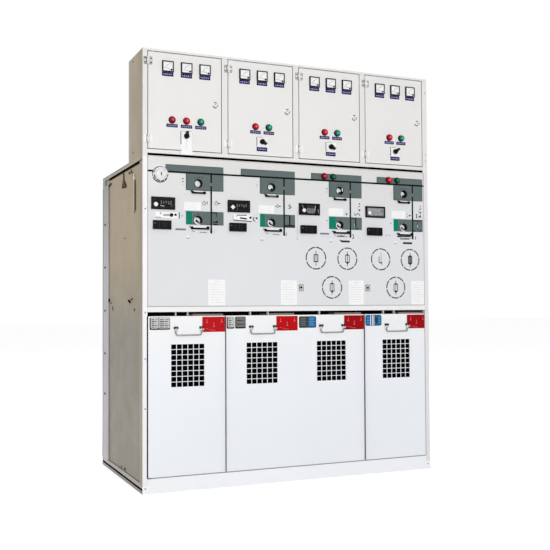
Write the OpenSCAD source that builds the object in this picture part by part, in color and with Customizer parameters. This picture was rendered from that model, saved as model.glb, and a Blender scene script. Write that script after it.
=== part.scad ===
// Four-bay ring main switchgear: a steel cabinet with the switch tank and the
// operating fascia above, lift-off cable covers below, and a shallower
// instrument box with four hinged doors on top.
// Millimetres, +Z up, front towards -Y. The origin is the middle of the
// footprint, on the floor.

/* [Bays] */
// Spacing of the four bays along the front
module_pitch = 325; // [315:5:360]
// From the left side to the first bay line
left_margin = 24; // [24:1:40]
// From the last bay line to the right side
right_margin = 12; // [12:1:30]

/* [Cabinet] */
// Depth of the cabinet, front to back
cabinet_d = 735; // [600:5:900]
// Height of the plinth frame under the cable covers
plinth_h = 63; // [55:1:120]
// Height of the cable covers
cover_h = 639; // [600:5:760]
// Height of the dark slot above the cable covers
slot_h = 17; // [14:1:24]
// Height of the white rail between covers and fascia
rail_h = 21; // [16:1:30]
// Height of the operating fascia
fascia_h = 603; // [590:5:700]
// Width of the metal duct down the back edge of each side
rear_post_d = 113; // [80:1:140]

/* [Instrument box] */
// Height of the instrument box above the cabinet roof
lv_h = 432; // [400:2:520]
// Depth of the instrument box
lv_d = 228; // [180:2:320]
// Width of the posts between the instrument doors
lv_post_w = 26; // [20:1:34]
// Depth of a door's folded edge
door_t = 18; // [14:1:24]
// Gap round each door
door_gap = 3; // [2:0.5:5]

/* [Instruments] */
// Width of a panel meter
meter_w = 48; // [40:1:52]
// Spacing of the three meters on a door
meter_pitch = 79; // [70:1:86]
// Diameter of a door lamp's bezel
lamp_d = 30; // [22:1:34]
// Spacing of the door lamps
lamp_pitch = 61; // [45:1:64]
// Diameter of a selector switch's base
selector_d = 22; // [20:1:32]

/* [Operating fascia] */
// Outer diameter of the collars round the operating shafts
collar_d = 36; // [28:1:38]
// Diameter of the pressure gauge
gauge_d = 61; // [50:1:70]
// Width of the position indicator units
indicator_w = 98; // [80:1:104]

/* [Cable covers] */
// Width of one vent opening
vent_w = 21; // [16:0.2:21.4]
// Height of one vent opening
vent_h = 19; // [14:0.2:19.4]
// Diameter of the handle wire
wire_d = 6; // [5:0.5:8]
// Drop of a lift handle below its pins
handle_drop = 27; // [22:1:40]

/* [Hidden] */
bays = 4;
fuse_bays = [bays / 2 : bays - 1];
sheet = 2;
seat = 0.3;
fit_gap = 0.5;
over = 1;
panel_gap = 1;
cover_gap = 2;
cover_edge_gap = 3;

frame_w = left_margin + bays * module_pitch + right_margin;
cover_z = plinth_h + seat;
cover_top = cover_z + cover_h;
rail_z = cover_top + slot_h;
fascia_z = rail_z + rail_h + panel_gap;
fascia_top = fascia_z + fascia_h;
roof_z = fascia_top + panel_gap;
cabinet_h = roof_z + sheet;
roof_flange = 13;
flange_z = roof_z - roof_flange;
side_step = 6;

post_w = 20;
post_d = 45;
duct_neck = 27;
duct_web = 45;
rail_d = 40;
slot_web_lap = 3;
fascia_d = 25;
tank_y = 130;

plinth_beam = 60;
foot_h = 12;
foot_groove_h = 10;
foot_groove_d = 7;
plinth_rail_top = 35;

lv_foot = 10;
lv_floor_z = cabinet_h + lv_foot - sheet;
lv_sill_h = 16;
lv_lintel_h = 9;
lv_corner_w = 20;
lv_frame_d = 22;
lv_stop_w = 8;
lv_skirt_y = 14;
door_z = cabinet_h + lv_foot + lv_sill_h;
door_top = cabinet_h + lv_h - lv_lintel_h;

hinge_r = 6.5;
hinge_y = -7;
hinge_leaf = 17;
hinge_leaf_t = 2.5;
hinge_h = 32;
hinge_inset = 41;
knuckle_h = (hinge_h - 2 * fit_gap) / 3;

meter_h = 45;
meter_t = 7;
meter_rim = 2.5;
meter_recess = 1.5;
meter_drop = 58;
lamp_drop = 274;
lamp_t = 6;
lens_share = 0.86;
selector_drop = 336;
selector_rest = [0, 130, 130, 45];
selector_base_t = 8;
selector_grip_t = 14;
selector_grip_w = 8;
selector_tail_in = 1;
selector_nose_out = 7;
fitting_shift = 5;

plate_t = 1.5;
mimic_top = 29;
mimic_header_h = 29;
mimic_body_h = 72;
mimic_left = 71;
mimic_body_left = 156;
mimic_gap = 7;
mimic_edge = 8;
lower_plate_top = 215;
lower_plate_h = 55;
upper_shaft = [209, 101];
lower_shaft = [208, 252];
collar_lip = 3;
collar_wall = 2;
collar_bore = collar_d - 2 * collar_wall;
shaft_gap = 3.5;
shaft_recess = 13;

lever_t = 9;
lever_bar = 7;
lever_strip_t = 5;
upper_lever = [180, 57, 137];
lower_lever = [176, 78, 283];
lever_sag = 3;

indicator_at = [11, 163];
indicator_h = 50;
indicator_t = 8;
voltage_at = [18, 258];
voltage_w = 74;
voltage_h = 35;
voltage_t = 12;
gauge_at = [48, 71];
gauge_t = 14;
gauge_rim = 2.5;
gauge_recess = 2;
key_at = [19, 526];
key_w = 20;
key_h = 28;
key_t = 6;
key_boss_d = 14;
key_boss_t = 9;
fascia_lamp_x = [135, 176];
fascia_lamp_d = [32, 28];
fascia_lamp_drop = 41;

vent_columns = 6;
vent_rows = 8;
vent_pitch_x = 23.7;
vent_pitch_z = 21.7;
vent_left = 94;
vent_drop = 111;
cover_d = 20;
eye_x = [112.5, 220.5];
eye_drop = 50;
eye_slot = wire_d + 2 * fit_gap;
eye_cheek = 4;
eye_w = eye_slot + 2 * eye_cheek;
eye_h = 15;
eye_t = 13;
pin_y = -8;
handle_bend = 9;

housing_white = [0.91, 0.90, 0.89];
fascia_grey = [0.87, 0.88, 0.89];
cover_white = [0.92, 0.93, 0.95];
panel_olive = [0.61, 0.58, 0.51];
zinc_grey = [0.70, 0.69, 0.68];
slate = [0.40, 0.45, 0.45];
black = [0.08, 0.08, 0.08];
bright = [0.80, 0.80, 0.80];
lamp_red = [0.75, 0.08, 0.08];
tank_steel = [0.55, 0.56, 0.57];

// ---- shared places and shapes ----

// Bay lines along the front, counted from 0 at the left
function bay_x(k) = left_margin + k * module_pitch;

// Left and right edge of an instrument door's opening
function opening_left(k) = k == 0 ? lv_corner_w : bay_x(k) + lv_post_w / 2;
function opening_right(k) = bay_x(k + 1) - lv_post_w / 2;

// Middle line of the fittings on an instrument door
function fitting_x(k) = (opening_left(k) + opening_right(k)) / 2 + fitting_shift;

// Turns places counted from the front left bottom corner into the part's frame
module from_corner() {
    translate([-frame_w / 2, -cabinet_d / 2, 0])
        children();
}

// Box between two corners
module block(low, high) {
    translate(low)
        cube(high - low);
}

// Disc standing out of the front plane: its axis is along Y, its back at y
module stud(x, y, z, d, t) {
    translate([x, y, z])
        rotate([90, 0, 0])
            cylinder(d = d, h = t, $fn = 48);
}

// Folded tray: a front sheet with its edges turned back
module tray(low, high, depth) {
    difference() {
        block([low.x, 0, low.y], [high.x, depth, high.y]);
        block([low.x + sheet, sheet, low.y + sheet], [high.x - sheet, depth + over, high.y - sheet]);
    }
}

// ---- cabinet ----

// The piece given for the left side, and its mirror image on the right
module both_sides() {
    children();
    translate([frame_w, 0, 0])
        mirror([1, 0, 0])
            children();
}

// Outline of the whole plinth: foot strip, groove and rail, with the top set in for posts and ducts
module plinth_outline() {
    rail_z0 = foot_h + foot_groove_h;
    block([0, 0, 0], [frame_w, cabinet_d, foot_h]);
    block([0, 0, 0], [frame_w, sheet, plinth_rail_top]);
    block([foot_groove_d, 0, 0], [frame_w - foot_groove_d, cabinet_d - foot_groove_d, plinth_rail_top]);
    block([0, 0, rail_z0], [frame_w, cabinet_d, plinth_rail_top]);
    block([post_w + seat, 0, rail_z0], [frame_w - post_w - seat, cabinet_d, plinth_h]);
}

module plinth_part(low, high) {
    intersection() {
        plinth_outline();
        block([low.x, low.y, 0], [high.x, high.y, plinth_h]);
    }
}

// Four plinth beams that butt at the corners
module base_frame() {
    side_y0 = plinth_beam + seat;
    side_y1 = cabinet_d - plinth_beam - seat;
    color(housing_white)
        from_corner() {
            plinth_part([0, 0], [frame_w, plinth_beam]);
            plinth_part([0, cabinet_d - plinth_beam], [frame_w, cabinet_d]);
            plinth_part([0, side_y0], [plinth_beam, side_y1]);
            plinth_part([frame_w - plinth_beam, side_y0], [frame_w, side_y1]);
        }
}

// Side sheet, set back between the front post and the rear duct
module side_sheet() {
    block([side_step, post_d + seat, plinth_rail_top + seat],
        [side_step + sheet, cabinet_d - rear_post_d - seat, roof_z - seat]);
}

module side_panel_left() {
    color(panel_olive)
        from_corner()
            side_sheet();
}

module side_panel_right() {
    color(panel_olive)
        from_corner()
            translate([frame_w, 0, 0])
                mirror([1, 0, 0])
                    side_sheet();
}

module rear_panel() {
    color(panel_olive)
        from_corner()
            block([post_w + seat, cabinet_d - 2 * sheet - seat, plinth_h + seat],
                [frame_w - post_w - seat, cabinet_d - sheet - seat, roof_z - seat]);
}

// Bright ducts that close the back corners, with a set-back neck and a flush web up to the roof
module rear_posts() {
    y0 = cabinet_d - rear_post_d;
    z0 = plinth_rail_top + seat;
    color(zinc_grey)
        from_corner()
            both_sides() {
                block([0, y0, z0], [post_w, cabinet_d, flange_z - duct_neck]);
                block([0, cabinet_d - duct_web, z0], [post_w, cabinet_d, flange_z - seat]);
                block([side_step, y0, z0], [post_w, cabinet_d - sheet - seat, roof_z - seat]);
            }
}

// Corner posts that carry the covers, the fascia and the roof
module front_posts() {
    color(housing_white)
        from_corner()
            both_sides()
                block([0, 0, plinth_rail_top + seat], [post_w, post_d, roof_z - seat]);
}

// Roof sheet with its edge folded down at the sides and the back
module roof_panel() {
    color(housing_white)
        from_corner()
            difference() {
                block([0, 0, flange_z], [frame_w, cabinet_d, cabinet_h]);
                block([sheet, sheet, flange_z - over], [frame_w - sheet, cabinet_d - sheet, roof_z]);
                block([-over, -over, flange_z - over], [frame_w + over, post_d + seat, roof_z]);
            }
}

module switch_tank() {
    inset = side_step + sheet + seat;
    color(tank_steel)
        from_corner()
            block([inset, tank_y, rail_z], [frame_w - inset, cabinet_d - rear_post_d - seat, roof_z - seat]);
}

// White rail between covers and fascia, and the web behind the slot under it
module front_rail() {
    x0 = post_w + seat;
    web_y = cover_d + sheet;
    color(housing_white)
        from_corner() {
            block([x0, 0, rail_z], [frame_w - x0, rail_d, rail_z + rail_h]);
            block([x0, web_y, cover_top - slot_web_lap], [frame_w - x0, web_y + sheet, rail_z - seat]);
        }
}

// Repeats the piece given at every operating shaft, with its axis on the front plane
module at_shafts() {
    for (k = [0 : bays - 1])
        for (at = [upper_shaft, lower_shaft])
            translate([bay_x(k) + at.x, 0, fascia_top - at.y])
                children();
}

module fascia() {
    x0 = post_w + seat;
    color(fascia_grey)
        from_corner()
            difference() {
                tray([x0, fascia_z], [frame_w - x0, fascia_top], fascia_d);
                at_shafts()
                    stud(0, sheet + over, 0, collar_d + 2 * seat, sheet + 2 * over);
            }
}

// ---- operating fascia fittings ----

// Right edge of a bay's mimic plates
function mimic_right(k) = min(bay_x(k + 1) - mimic_gap, frame_w - post_w - mimic_edge);

// Disc that cuts a round fitting out of a mimic plate
module plate_cut(k, at, d) {
    stud(bay_x(k) + at.x, over, fascia_top - at.y, d + 2 * seat, plate_t + 2 * over);
}

module mimic_plate(k, left, top, h) {
    block([bay_x(k) + left, -plate_t, fascia_top - top - h], [mimic_right(k), 0, fascia_top - top]);
}

module mimic_plate_pair(k) {
    difference() {
        union() {
            mimic_plate(k, mimic_left, mimic_top, mimic_header_h);
            mimic_plate(k, mimic_body_left, mimic_top, mimic_header_h + mimic_body_h);
        }
        plate_cut(k, upper_shaft, collar_d);
        plate_cut(0, gauge_at, gauge_d);
    }
    difference() {
        mimic_plate(k, mimic_body_left, lower_plate_top, lower_plate_h);
        plate_cut(k, lower_shaft, collar_d);
    }
}

module mimic_plates() {
    color(slate)
        from_corner()
            for (k = [0 : bays - 1])
                mimic_plate_pair(k);
}

// Tubes through the fascia that guide the operating lever onto the shaft ends
module shaft_collars() {
    length = fascia_d + collar_lip;
    color(black)
        from_corner()
            at_shafts()
                difference() {
                    stud(0, fascia_d, 0, collar_d, length);
                    stud(0, fascia_d + over, 0, collar_bore, length + 2 * over);
                }
}

// Shafts that come out of the switch tank and end inside their collars
module operating_shafts() {
    shaft_y = tank_y - seat;
    color(bright)
        from_corner()
            at_shafts()
                stud(0, shaft_y, 0, collar_bore - 2 * shaft_gap, shaft_y - shaft_recess);
}

// Bowed bar with two feet, under a shaft collar
module lever(x, w, z) {
    for (foot = [x, x + w - lever_bar])
        block([foot, -lever_t, z - lever_bar / 2], [foot + lever_bar, 0, z + lever_bar / 2]);
    translate([x, -lever_t, z - lever_bar / 2 - lever_sag])
        cube([w, lever_strip_t, lever_bar]);
}

module lever_bars() {
    color(black)
        from_corner()
            for (k = [0 : bays - 1])
                for (bar = [upper_lever, lower_lever])
                    lever(bay_x(k) + bar[0], bar[1], fascia_top - bar[2]);
}

module indicator_units() {
    color(black)
        from_corner()
            for (k = [0 : bays - 1])
                block([bay_x(k) + indicator_at.x, -indicator_t, fascia_top - indicator_at.y - indicator_h],
                    [bay_x(k) + indicator_at.x + indicator_w, 0, fascia_top - indicator_at.y]);
}

module voltage_boxes() {
    color(black)
        from_corner()
            for (k = [0 : bays - 1])
                block([bay_x(k) + voltage_at.x, -voltage_t, fascia_top - voltage_at.y - voltage_h],
                    [bay_x(k) + voltage_at.x + voltage_w, 0, fascia_top - voltage_at.y]);
}

// Round case with a dial set back inside its rim
module pressure_gauge() {
    x = bay_x(0) + gauge_at.x;
    z = fascia_top - gauge_at.y;
    color(black)
        from_corner()
            difference() {
                stud(x, 0, z, gauge_d, gauge_t);
                stud(x, gauge_recess - gauge_t, z, gauge_d - 2 * gauge_rim, gauge_t);
            }
}

module key_locks() {
    z = fascia_top - key_at.y;
    color(bright)
        from_corner()
            for (k = fuse_bays) {
                x = bay_x(k) + key_at.x;
                block([x - key_w / 2, -key_t, z - key_h / 2], [x + key_w / 2, 0, z + key_h / 2]);
                stud(x, 0, z, key_boss_d, key_boss_t);
            }
}

// Bezel with a domed lens
module pilot_lamp(x, y, z, d) {
    stud(x, y, z, d, lamp_t);
    intersection() {
        translate([x, y - lamp_t, z])
            sphere(d = d * lens_share, $fn = 48);
        stud(x, y - over, z, d, lamp_t + d);
    }
}

module fascia_lamps() {
    color(lamp_red)
        from_corner()
            for (k = fuse_bays)
                for (i = [0, 1])
                    pilot_lamp(bay_x(k) + fascia_lamp_x[i], -plate_t, fascia_top - fascia_lamp_drop,
                        fascia_lamp_d[i]);
}

// ---- instrument box ----

module lv_housing() {
    top = cabinet_h + lv_h;
    wall_y = lv_frame_d + seat;
    inner = sheet + seat;
    back_y = lv_d - inner;
    color(housing_white)
        from_corner() {
            block([0, wall_y, cabinet_h], [sheet, lv_d, top]);
            block([frame_w - sheet, wall_y, cabinet_h], [frame_w, lv_d, top]);
            block([inner, lv_d - sheet, cabinet_h], [frame_w - inner, lv_d, top]);
            block([inner, wall_y, top - sheet], [frame_w - inner, back_y, top]);
            block([inner, wall_y, lv_floor_z], [frame_w - inner, back_y, lv_floor_z + sheet]);
            for (k = [1 : bays - 1])
                block([bay_x(k) - sheet / 2, wall_y + inner, lv_floor_z + inner],
                    [bay_x(k) + sheet / 2, back_y, top - inner]);
        }
}

// Half of a door hinge: a leaf on the front plane and one knuckle on the hinge line
module knuckle(x, z, side) {
    translate([x, hinge_y, z])
        cylinder(r = hinge_r, h = knuckle_h, $fn = 32);
    leaf_x = side < 0 ? x - hinge_leaf : x;
    block([leaf_x, -seat - hinge_leaf_t, z], [leaf_x + hinge_leaf, -seat, z + knuckle_h]);
}

function hinge_bottoms() = [door_z + hinge_inset - hinge_h / 2, door_top - hinge_inset - hinge_h / 2];
function hinge_x(k) = opening_left(k) + door_gap / 2;

// Left edge and width of each upright between the doors
function upright_left(k) = k == 0 ? 0 : bay_x(k) - lv_post_w / 2;
function upright_right(k) = k == 0 ? lv_corner_w : k == bays ? frame_w : bay_x(k) + lv_post_w / 2;

// Upright strips, sill, lintel, the stops behind them and the fixed hinge halves
module lv_front_frame() {
    color(housing_white)
        from_corner() {
            block([0, 0, cabinet_h + lv_foot], [frame_w, lv_frame_d, door_z - seat]);
            block([0, 0, door_top + seat], [frame_w, lv_frame_d, cabinet_h + lv_h]);
            block([lv_corner_w + seat, lv_skirt_y, cabinet_h],
                [upright_left(bays) - seat, lv_frame_d, cabinet_h + lv_foot - seat]);
            for (k = [0, bays])
                block([upright_left(k), 0, cabinet_h], [upright_right(k), lv_frame_d, door_z - seat]);
            for (k = [0 : bays])
                block([upright_left(k), 0, door_z], [upright_right(k), lv_frame_d, door_top]);
            for (k = [1 : bays - 1])
                block([bay_x(k) - lv_post_w / 2 - lv_stop_w, lv_frame_d + seat, door_z],
                    [bay_x(k) + lv_post_w / 2 + lv_stop_w, lv_frame_d + seat + sheet, door_top]);
            for (k = [0 : bays - 1])
                for (z = hinge_bottoms())
                    for (step = [0, 2])
                        knuckle(hinge_x(k), z + step * (knuckle_h + fit_gap), -1);
        }
}

module lv_door(k) {
    color(housing_white)
        from_corner() {
            tray([opening_left(k) + door_gap, door_z + door_gap],
                [opening_right(k) - door_gap, door_top - door_gap], door_t);
            for (z = hinge_bottoms())
                knuckle(hinge_x(k), z + knuckle_h + fit_gap, 1);
        }
}

// Square bezel with the dial set back inside its rim
module panel_meter(x, z) {
    difference() {
        block([x - meter_w / 2, -meter_t, z - meter_h / 2], [x + meter_w / 2, 0, z + meter_h / 2]);
        block([x - meter_w / 2 + meter_rim, -meter_t - over, z - meter_h / 2 + meter_rim],
            [x + meter_w / 2 - meter_rim, -meter_t + meter_recess, z + meter_h / 2 - meter_rim]);
    }
}

module lv_meters(k) {
    color(black)
        from_corner()
            for (i = [-1 : 1])
                panel_meter(fitting_x(k) + i * meter_pitch, door_top - meter_drop);
}

module lv_lamps(k) {
    places = k == 0 ? [-1, 0, 1] : [-0.5, 0.5];
    color(lamp_red)
        from_corner()
            for (i = places)
                pilot_lamp(fitting_x(k) + i * lamp_pitch, 0, door_top - lamp_drop, lamp_d);
}

// Turned base with a grip bar, shown at its switched position
module lv_selector(k) {
    half_grip = selector_grip_w / 2;
    grip_y = -selector_base_t - selector_grip_t;
    color(black)
        from_corner()
            translate([fitting_x(k), 0, door_top - selector_drop])
                rotate([0, selector_rest[k], 0]) {
                    stud(0, -seat, 0, selector_d, selector_base_t);
                    block([-half_grip, grip_y, selector_tail_in - selector_d / 2],
                        [half_grip, -selector_base_t, selector_d / 2 + selector_nose_out]);
                }
}

// ---- cable covers ----

module vents(k) {
    for (i = [0 : vent_columns - 1])
        for (j = [0 : vent_rows - 1]) {
            x = bay_x(k) + vent_left + i * vent_pitch_x;
            z = cover_top - vent_drop - (j + 1) * vent_pitch_z;
            block([x, -over, z], [x + vent_w, sheet + over, z + vent_h]);
        }
}

// Two cheeks with a cross bore for the handle's pin
module handle_eye(x) {
    z = cover_top - eye_drop;
    difference() {
        for (left = [x - eye_w / 2, x + eye_slot / 2])
            block([left, -seat - eye_t, z - eye_h / 2], [left + eye_cheek, -seat, z + eye_h / 2]);
        translate([x - eye_w, pin_y, z])
            rotate([0, 90, 0])
                cylinder(d = wire_d + 2 * fit_gap, h = 2 * eye_w, $fn = 24);
    }
}

module cable_cover(left, right, ks) {
    color(cover_white)
        from_corner() {
            difference() {
                tray([left, cover_z], [right, cover_top], cover_d);
                for (k = ks)
                    vents(k);
            }
            for (k = ks)
                for (x = eye_x)
                    handle_eye(bay_x(k) + x);
        }
}

cover_left_edge = post_w + cover_edge_gap;

module cable_cover_left() {
    cable_cover(cover_left_edge, bay_x(1) - cover_gap / 2, [0]);
}

module cable_cover_centre() {
    cable_cover(bay_x(1) + cover_gap / 2, bay_x(3) - cover_gap / 2, [1, 2]);
}

module cable_cover_right() {
    cable_cover(bay_x(3) + cover_gap / 2, frame_w - cover_left_edge, [3]);
}

// Pin, leg and bend at the left end of a lift handle, from the pin's axis down
module handle_end() {
    translate([-eye_w / 2, 0, 0])
        rotate([0, 90, 0])
            cylinder(d = wire_d, h = eye_w, $fn = 24);
    translate([0, 0, handle_bend - handle_drop])
        cylinder(d = wire_d, h = handle_drop - handle_bend, $fn = 24);
    translate([handle_bend, 0, handle_bend - handle_drop])
        rotate([90, 0, 0])
            rotate([0, 0, 180])
                rotate_extrude(angle = 90, $fn = 48)
                    translate([handle_bend, 0])
                        circle(d = wire_d, $fn = 24);
}

// Wire bail whose legs hang between the cheeks of two lugs
module lift_handle(k) {
    span = eye_x[1] - eye_x[0];
    color(bright)
        from_corner()
            translate([bay_x(k) + eye_x[0], pin_y, cover_top - eye_drop]) {
                handle_end();
                translate([span, 0, 0])
                    mirror([1, 0, 0])
                        handle_end();
                translate([handle_bend, 0, -handle_drop])
                    rotate([0, 90, 0])
                        cylinder(d = wire_d, h = span - 2 * handle_bend, $fn = 24);
            }
}

base_frame();
side_panel_left();
side_panel_right();
rear_panel();
rear_posts();
front_posts();
roof_panel();
switch_tank();
front_rail();
fascia();
lv_housing();
lv_front_frame();
lv_door(0);  // lv_door_1
lv_door(1);  // lv_door_2
lv_door(2);  // lv_door_3
lv_door(3);  // lv_door_4
lv_meters(0);  // lv_meters_1
lv_meters(1);  // lv_meters_2
lv_meters(2);  // lv_meters_3
lv_meters(3);  // lv_meters_4
lv_lamps(0);  // lv_lamps_1
lv_lamps(1);  // lv_lamps_2
lv_lamps(2);  // lv_lamps_3
lv_lamps(3);  // lv_lamps_4
lv_selector(0);  // lv_selector_1
lv_selector(1);  // lv_selector_2
lv_selector(2);  // lv_selector_3
lv_selector(3);  // lv_selector_4
mimic_plates();
shaft_collars();
operating_shafts();
lever_bars();
indicator_units();
voltage_boxes();
pressure_gauge();
key_locks();
fascia_lamps();
cable_cover_left();
cable_cover_centre();
cable_cover_right();
lift_handle(0);  // lift_handle_1
lift_handle(1);  // lift_handle_2
lift_handle(2);  // lift_handle_3
lift_handle(3);  // lift_handle_4
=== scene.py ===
"""Looks of the four-bay ring main switchgear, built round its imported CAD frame."""

import math

import bmesh
import bpy
from mathutils import Matrix, Vector


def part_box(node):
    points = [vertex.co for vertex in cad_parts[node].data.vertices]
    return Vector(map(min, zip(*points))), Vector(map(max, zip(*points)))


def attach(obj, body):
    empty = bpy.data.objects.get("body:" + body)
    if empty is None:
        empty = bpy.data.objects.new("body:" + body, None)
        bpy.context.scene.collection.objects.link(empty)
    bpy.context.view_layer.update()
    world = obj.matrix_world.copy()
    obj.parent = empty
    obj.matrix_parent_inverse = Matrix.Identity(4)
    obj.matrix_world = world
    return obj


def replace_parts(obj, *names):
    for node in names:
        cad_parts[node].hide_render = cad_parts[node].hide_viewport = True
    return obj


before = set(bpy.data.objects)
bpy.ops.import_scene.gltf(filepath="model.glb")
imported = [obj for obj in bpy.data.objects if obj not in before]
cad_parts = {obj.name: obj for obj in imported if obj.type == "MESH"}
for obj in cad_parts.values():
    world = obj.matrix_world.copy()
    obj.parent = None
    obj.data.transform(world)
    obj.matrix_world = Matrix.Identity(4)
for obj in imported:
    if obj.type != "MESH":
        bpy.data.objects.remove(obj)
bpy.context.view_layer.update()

MM = 0.001

# ---- places taken from the frame ----

FASCIA_LOW, FASCIA_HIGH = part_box("fascia")
BASE_LOW, BASE_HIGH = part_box("base_frame")
BOX_LOW, BOX_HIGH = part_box("lv_housing")
CENTRE_LOW, CENTRE_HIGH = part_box("cable_cover_centre")
FRONT = FASCIA_LOW.y
LEFT, RIGHT = BASE_LOW.x, BASE_HIGH.x
PLATE_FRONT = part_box("mimic_plates")[0].y
COVER_TOP = CENTRE_HIGH.z
COVER_GAP = 2 * MM
PITCH = (CENTRE_HIGH.x - CENTRE_LOW.x + COVER_GAP) / 2
BAYS = range(4)
FUSE_BAYS = (2, 3)
COVERS = ["cover_left", "cover_centre", "cover_centre", "cover_right"]


def bay_x(k, x=0.0):
    """A place x millimetres right of bay line k."""
    return CENTRE_LOW.x - COVER_GAP / 2 + (k - 1) * PITCH + x * MM


# ---- camera and light ----

CAMERA_AT = Vector((-1.5604, -3.7721, 0.7510))
CAMERA_YAW = math.radians(23.287)
CAMERA_PITCH = math.radians(1.868)
CAMERA_ROLL = math.radians(-0.267)
FOCAL_MM = 57.378
AMBIENT = 0.45
FLOOR_GREY = 0.5
FLOOR_SHARE = 0.50


def add_camera():
    data = bpy.data.cameras.new("camera")
    data.sensor_width = 36
    data.lens = FOCAL_MM
    data.clip_end = 100
    camera = bpy.data.objects.new("camera", data)
    bpy.context.scene.collection.objects.link(camera)
    turn = Matrix.Rotation(-CAMERA_YAW, 4, "Z")
    tilt = Matrix.Rotation(math.pi / 2 + CAMERA_PITCH, 4, "X")
    roll = Matrix.Rotation(CAMERA_ROLL, 4, "Z")
    camera.matrix_world = Matrix.Translation(CAMERA_AT) @ turn @ tilt @ roll
    bpy.context.scene.camera = camera


def add_softbox(name, at, aim, size, watts):
    data = bpy.data.lights.new(name, "AREA")
    data.shape = "SQUARE"
    data.size = size
    data.energy = watts
    lamp = bpy.data.objects.new(name, data)
    bpy.context.scene.collection.objects.link(lamp)
    lamp.location = at
    lamp.rotation_euler = (Vector(aim) - Vector(at)).to_track_quat("-Z", "Y").to_euler()


def seen_directly(tree):
    """1 for camera, glossy and transmission rays, 0 for light that falls on things."""
    path = tree.nodes.new("ShaderNodeLightPath")
    total = path.outputs["Is Camera Ray"]
    for ray in ("Is Glossy Ray", "Is Transmission Ray"):
        largest = tree.nodes.new("ShaderNodeMath")
        largest.operation = "MAXIMUM"
        tree.links.new(total, largest.inputs[0])
        tree.links.new(path.outputs[ray], largest.inputs[1])
        total = largest.outputs[0]
    return total


def add_world():
    world = bpy.data.worlds.new("studio")
    bpy.context.scene.world = world
    world.use_nodes = True
    tree = world.node_tree
    tree.nodes.clear()
    out = tree.nodes.new("ShaderNodeOutputWorld")
    mix = tree.nodes.new("ShaderNodeMixShader")
    tree.links.new(seen_directly(tree), mix.inputs[0])
    for socket, strength in ((1, AMBIENT), (2, 1.0)):
        light = tree.nodes.new("ShaderNodeBackground")
        light.inputs["Color"].default_value = (1, 1, 1, 1)
        light.inputs["Strength"].default_value = strength
        tree.links.new(light.outputs[0], mix.inputs[socket])
    tree.links.new(mix.outputs[0], out.inputs[0])


def add_floor():
    """A pale floor that reads as white to the eye and still takes the shadow."""
    bpy.ops.mesh.primitive_plane_add(size=60, location=(0, 0, 0))
    floor = bpy.context.object
    floor.name = "floor"
    mat = bpy.data.materials.new("floor")
    mat.use_nodes = True
    tree = mat.node_tree
    tree.nodes.clear()
    out = tree.nodes.new("ShaderNodeOutputMaterial")
    diffuse = tree.nodes.new("ShaderNodeBsdfDiffuse")
    diffuse.inputs["Color"].default_value = (FLOOR_GREY, FLOOR_GREY, FLOOR_GREY, 1)
    glow = tree.nodes.new("ShaderNodeEmission")
    glow.inputs["Color"].default_value = (1, 1, 1, 1)
    level = tree.nodes.new("ShaderNodeMath")
    level.operation = "MULTIPLY"
    level.inputs[1].default_value = 1 - FLOOR_SHARE * FLOOR_GREY
    tree.links.new(seen_directly(tree), level.inputs[0])
    tree.links.new(level.outputs[0], glow.inputs["Strength"])
    both = tree.nodes.new("ShaderNodeAddShader")
    tree.links.new(diffuse.outputs[0], both.inputs[0])
    tree.links.new(glow.outputs[0], both.inputs[1])
    tree.links.new(both.outputs[0], out.inputs[0])
    floor.data.materials.append(mat)


# ---- materials ----

WHITE = (1.0, 1.0, 1.0, 1.0)
GREY = (0.5, 0.5, 0.5, 1.0)
BLACK = (0.0, 0.0, 0.0, 1.0)


def srgb(r, g, b):
    """Linear colour of an 8-bit sRGB value."""
    def channel(v):
        v = v / 255
        return v / 12.92 if v <= 0.04045 else ((v + 0.055) / 1.055) ** 2.4
    return (channel(r), channel(g), channel(b), 1.0)


def shade(color, other, amount):
    """A colour moved part of the way to another."""
    return tuple(a + (b - a) * amount for a, b in zip(color, other))


def lighter(color, amount):
    """A colour made brighter by a share of itself."""
    return tuple(min(1.0, v * (1 + amount)) for v in color)


def noise(tree, coords, scale, detail=4.0):
    """Noise of a given frequency per metre."""
    tex = tree.nodes.new("ShaderNodeTexNoise")
    tex.inputs["Scale"].default_value = scale
    tex.inputs["Detail"].default_value = detail
    tree.links.new(coords, tex.inputs["Vector"])
    return tex.outputs["Fac"]


def remap(tree, value, from_low, from_high, to_low, to_high):
    node = tree.nodes.new("ShaderNodeMapRange")
    node.inputs["From Min"].default_value = from_low
    node.inputs["From Max"].default_value = from_high
    node.inputs["To Min"].default_value = to_low
    node.inputs["To Max"].default_value = to_high
    tree.links.new(value, node.inputs["Value"])
    return node.outputs["Result"]


def spread(tree, value, low, high):
    """Spreads a noise value between two numbers."""
    return remap(tree, value, 0.3, 0.7, low, high)


def maths(tree, operation, *values):
    """A Math node; each value is an output or a number."""
    node = tree.nodes.new("ShaderNodeMath")
    node.operation = operation
    for socket, value in zip(node.inputs, values):
        if isinstance(value, (int, float)):
            socket.default_value = value
        else:
            tree.links.new(value, socket)
    return node.outputs[0]


def tint(tree, color, value, other):
    """Mixes a colour towards another by a value."""
    mix = tree.nodes.new("ShaderNodeMix")
    mix.data_type = "RGBA"
    if isinstance(color, tuple):
        mix.inputs["A"].default_value = color
    else:
        tree.links.new(color, mix.inputs["A"])
    mix.inputs["B"].default_value = other
    tree.links.new(value, mix.inputs["Factor"])
    return mix.outputs["Result"]


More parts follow.
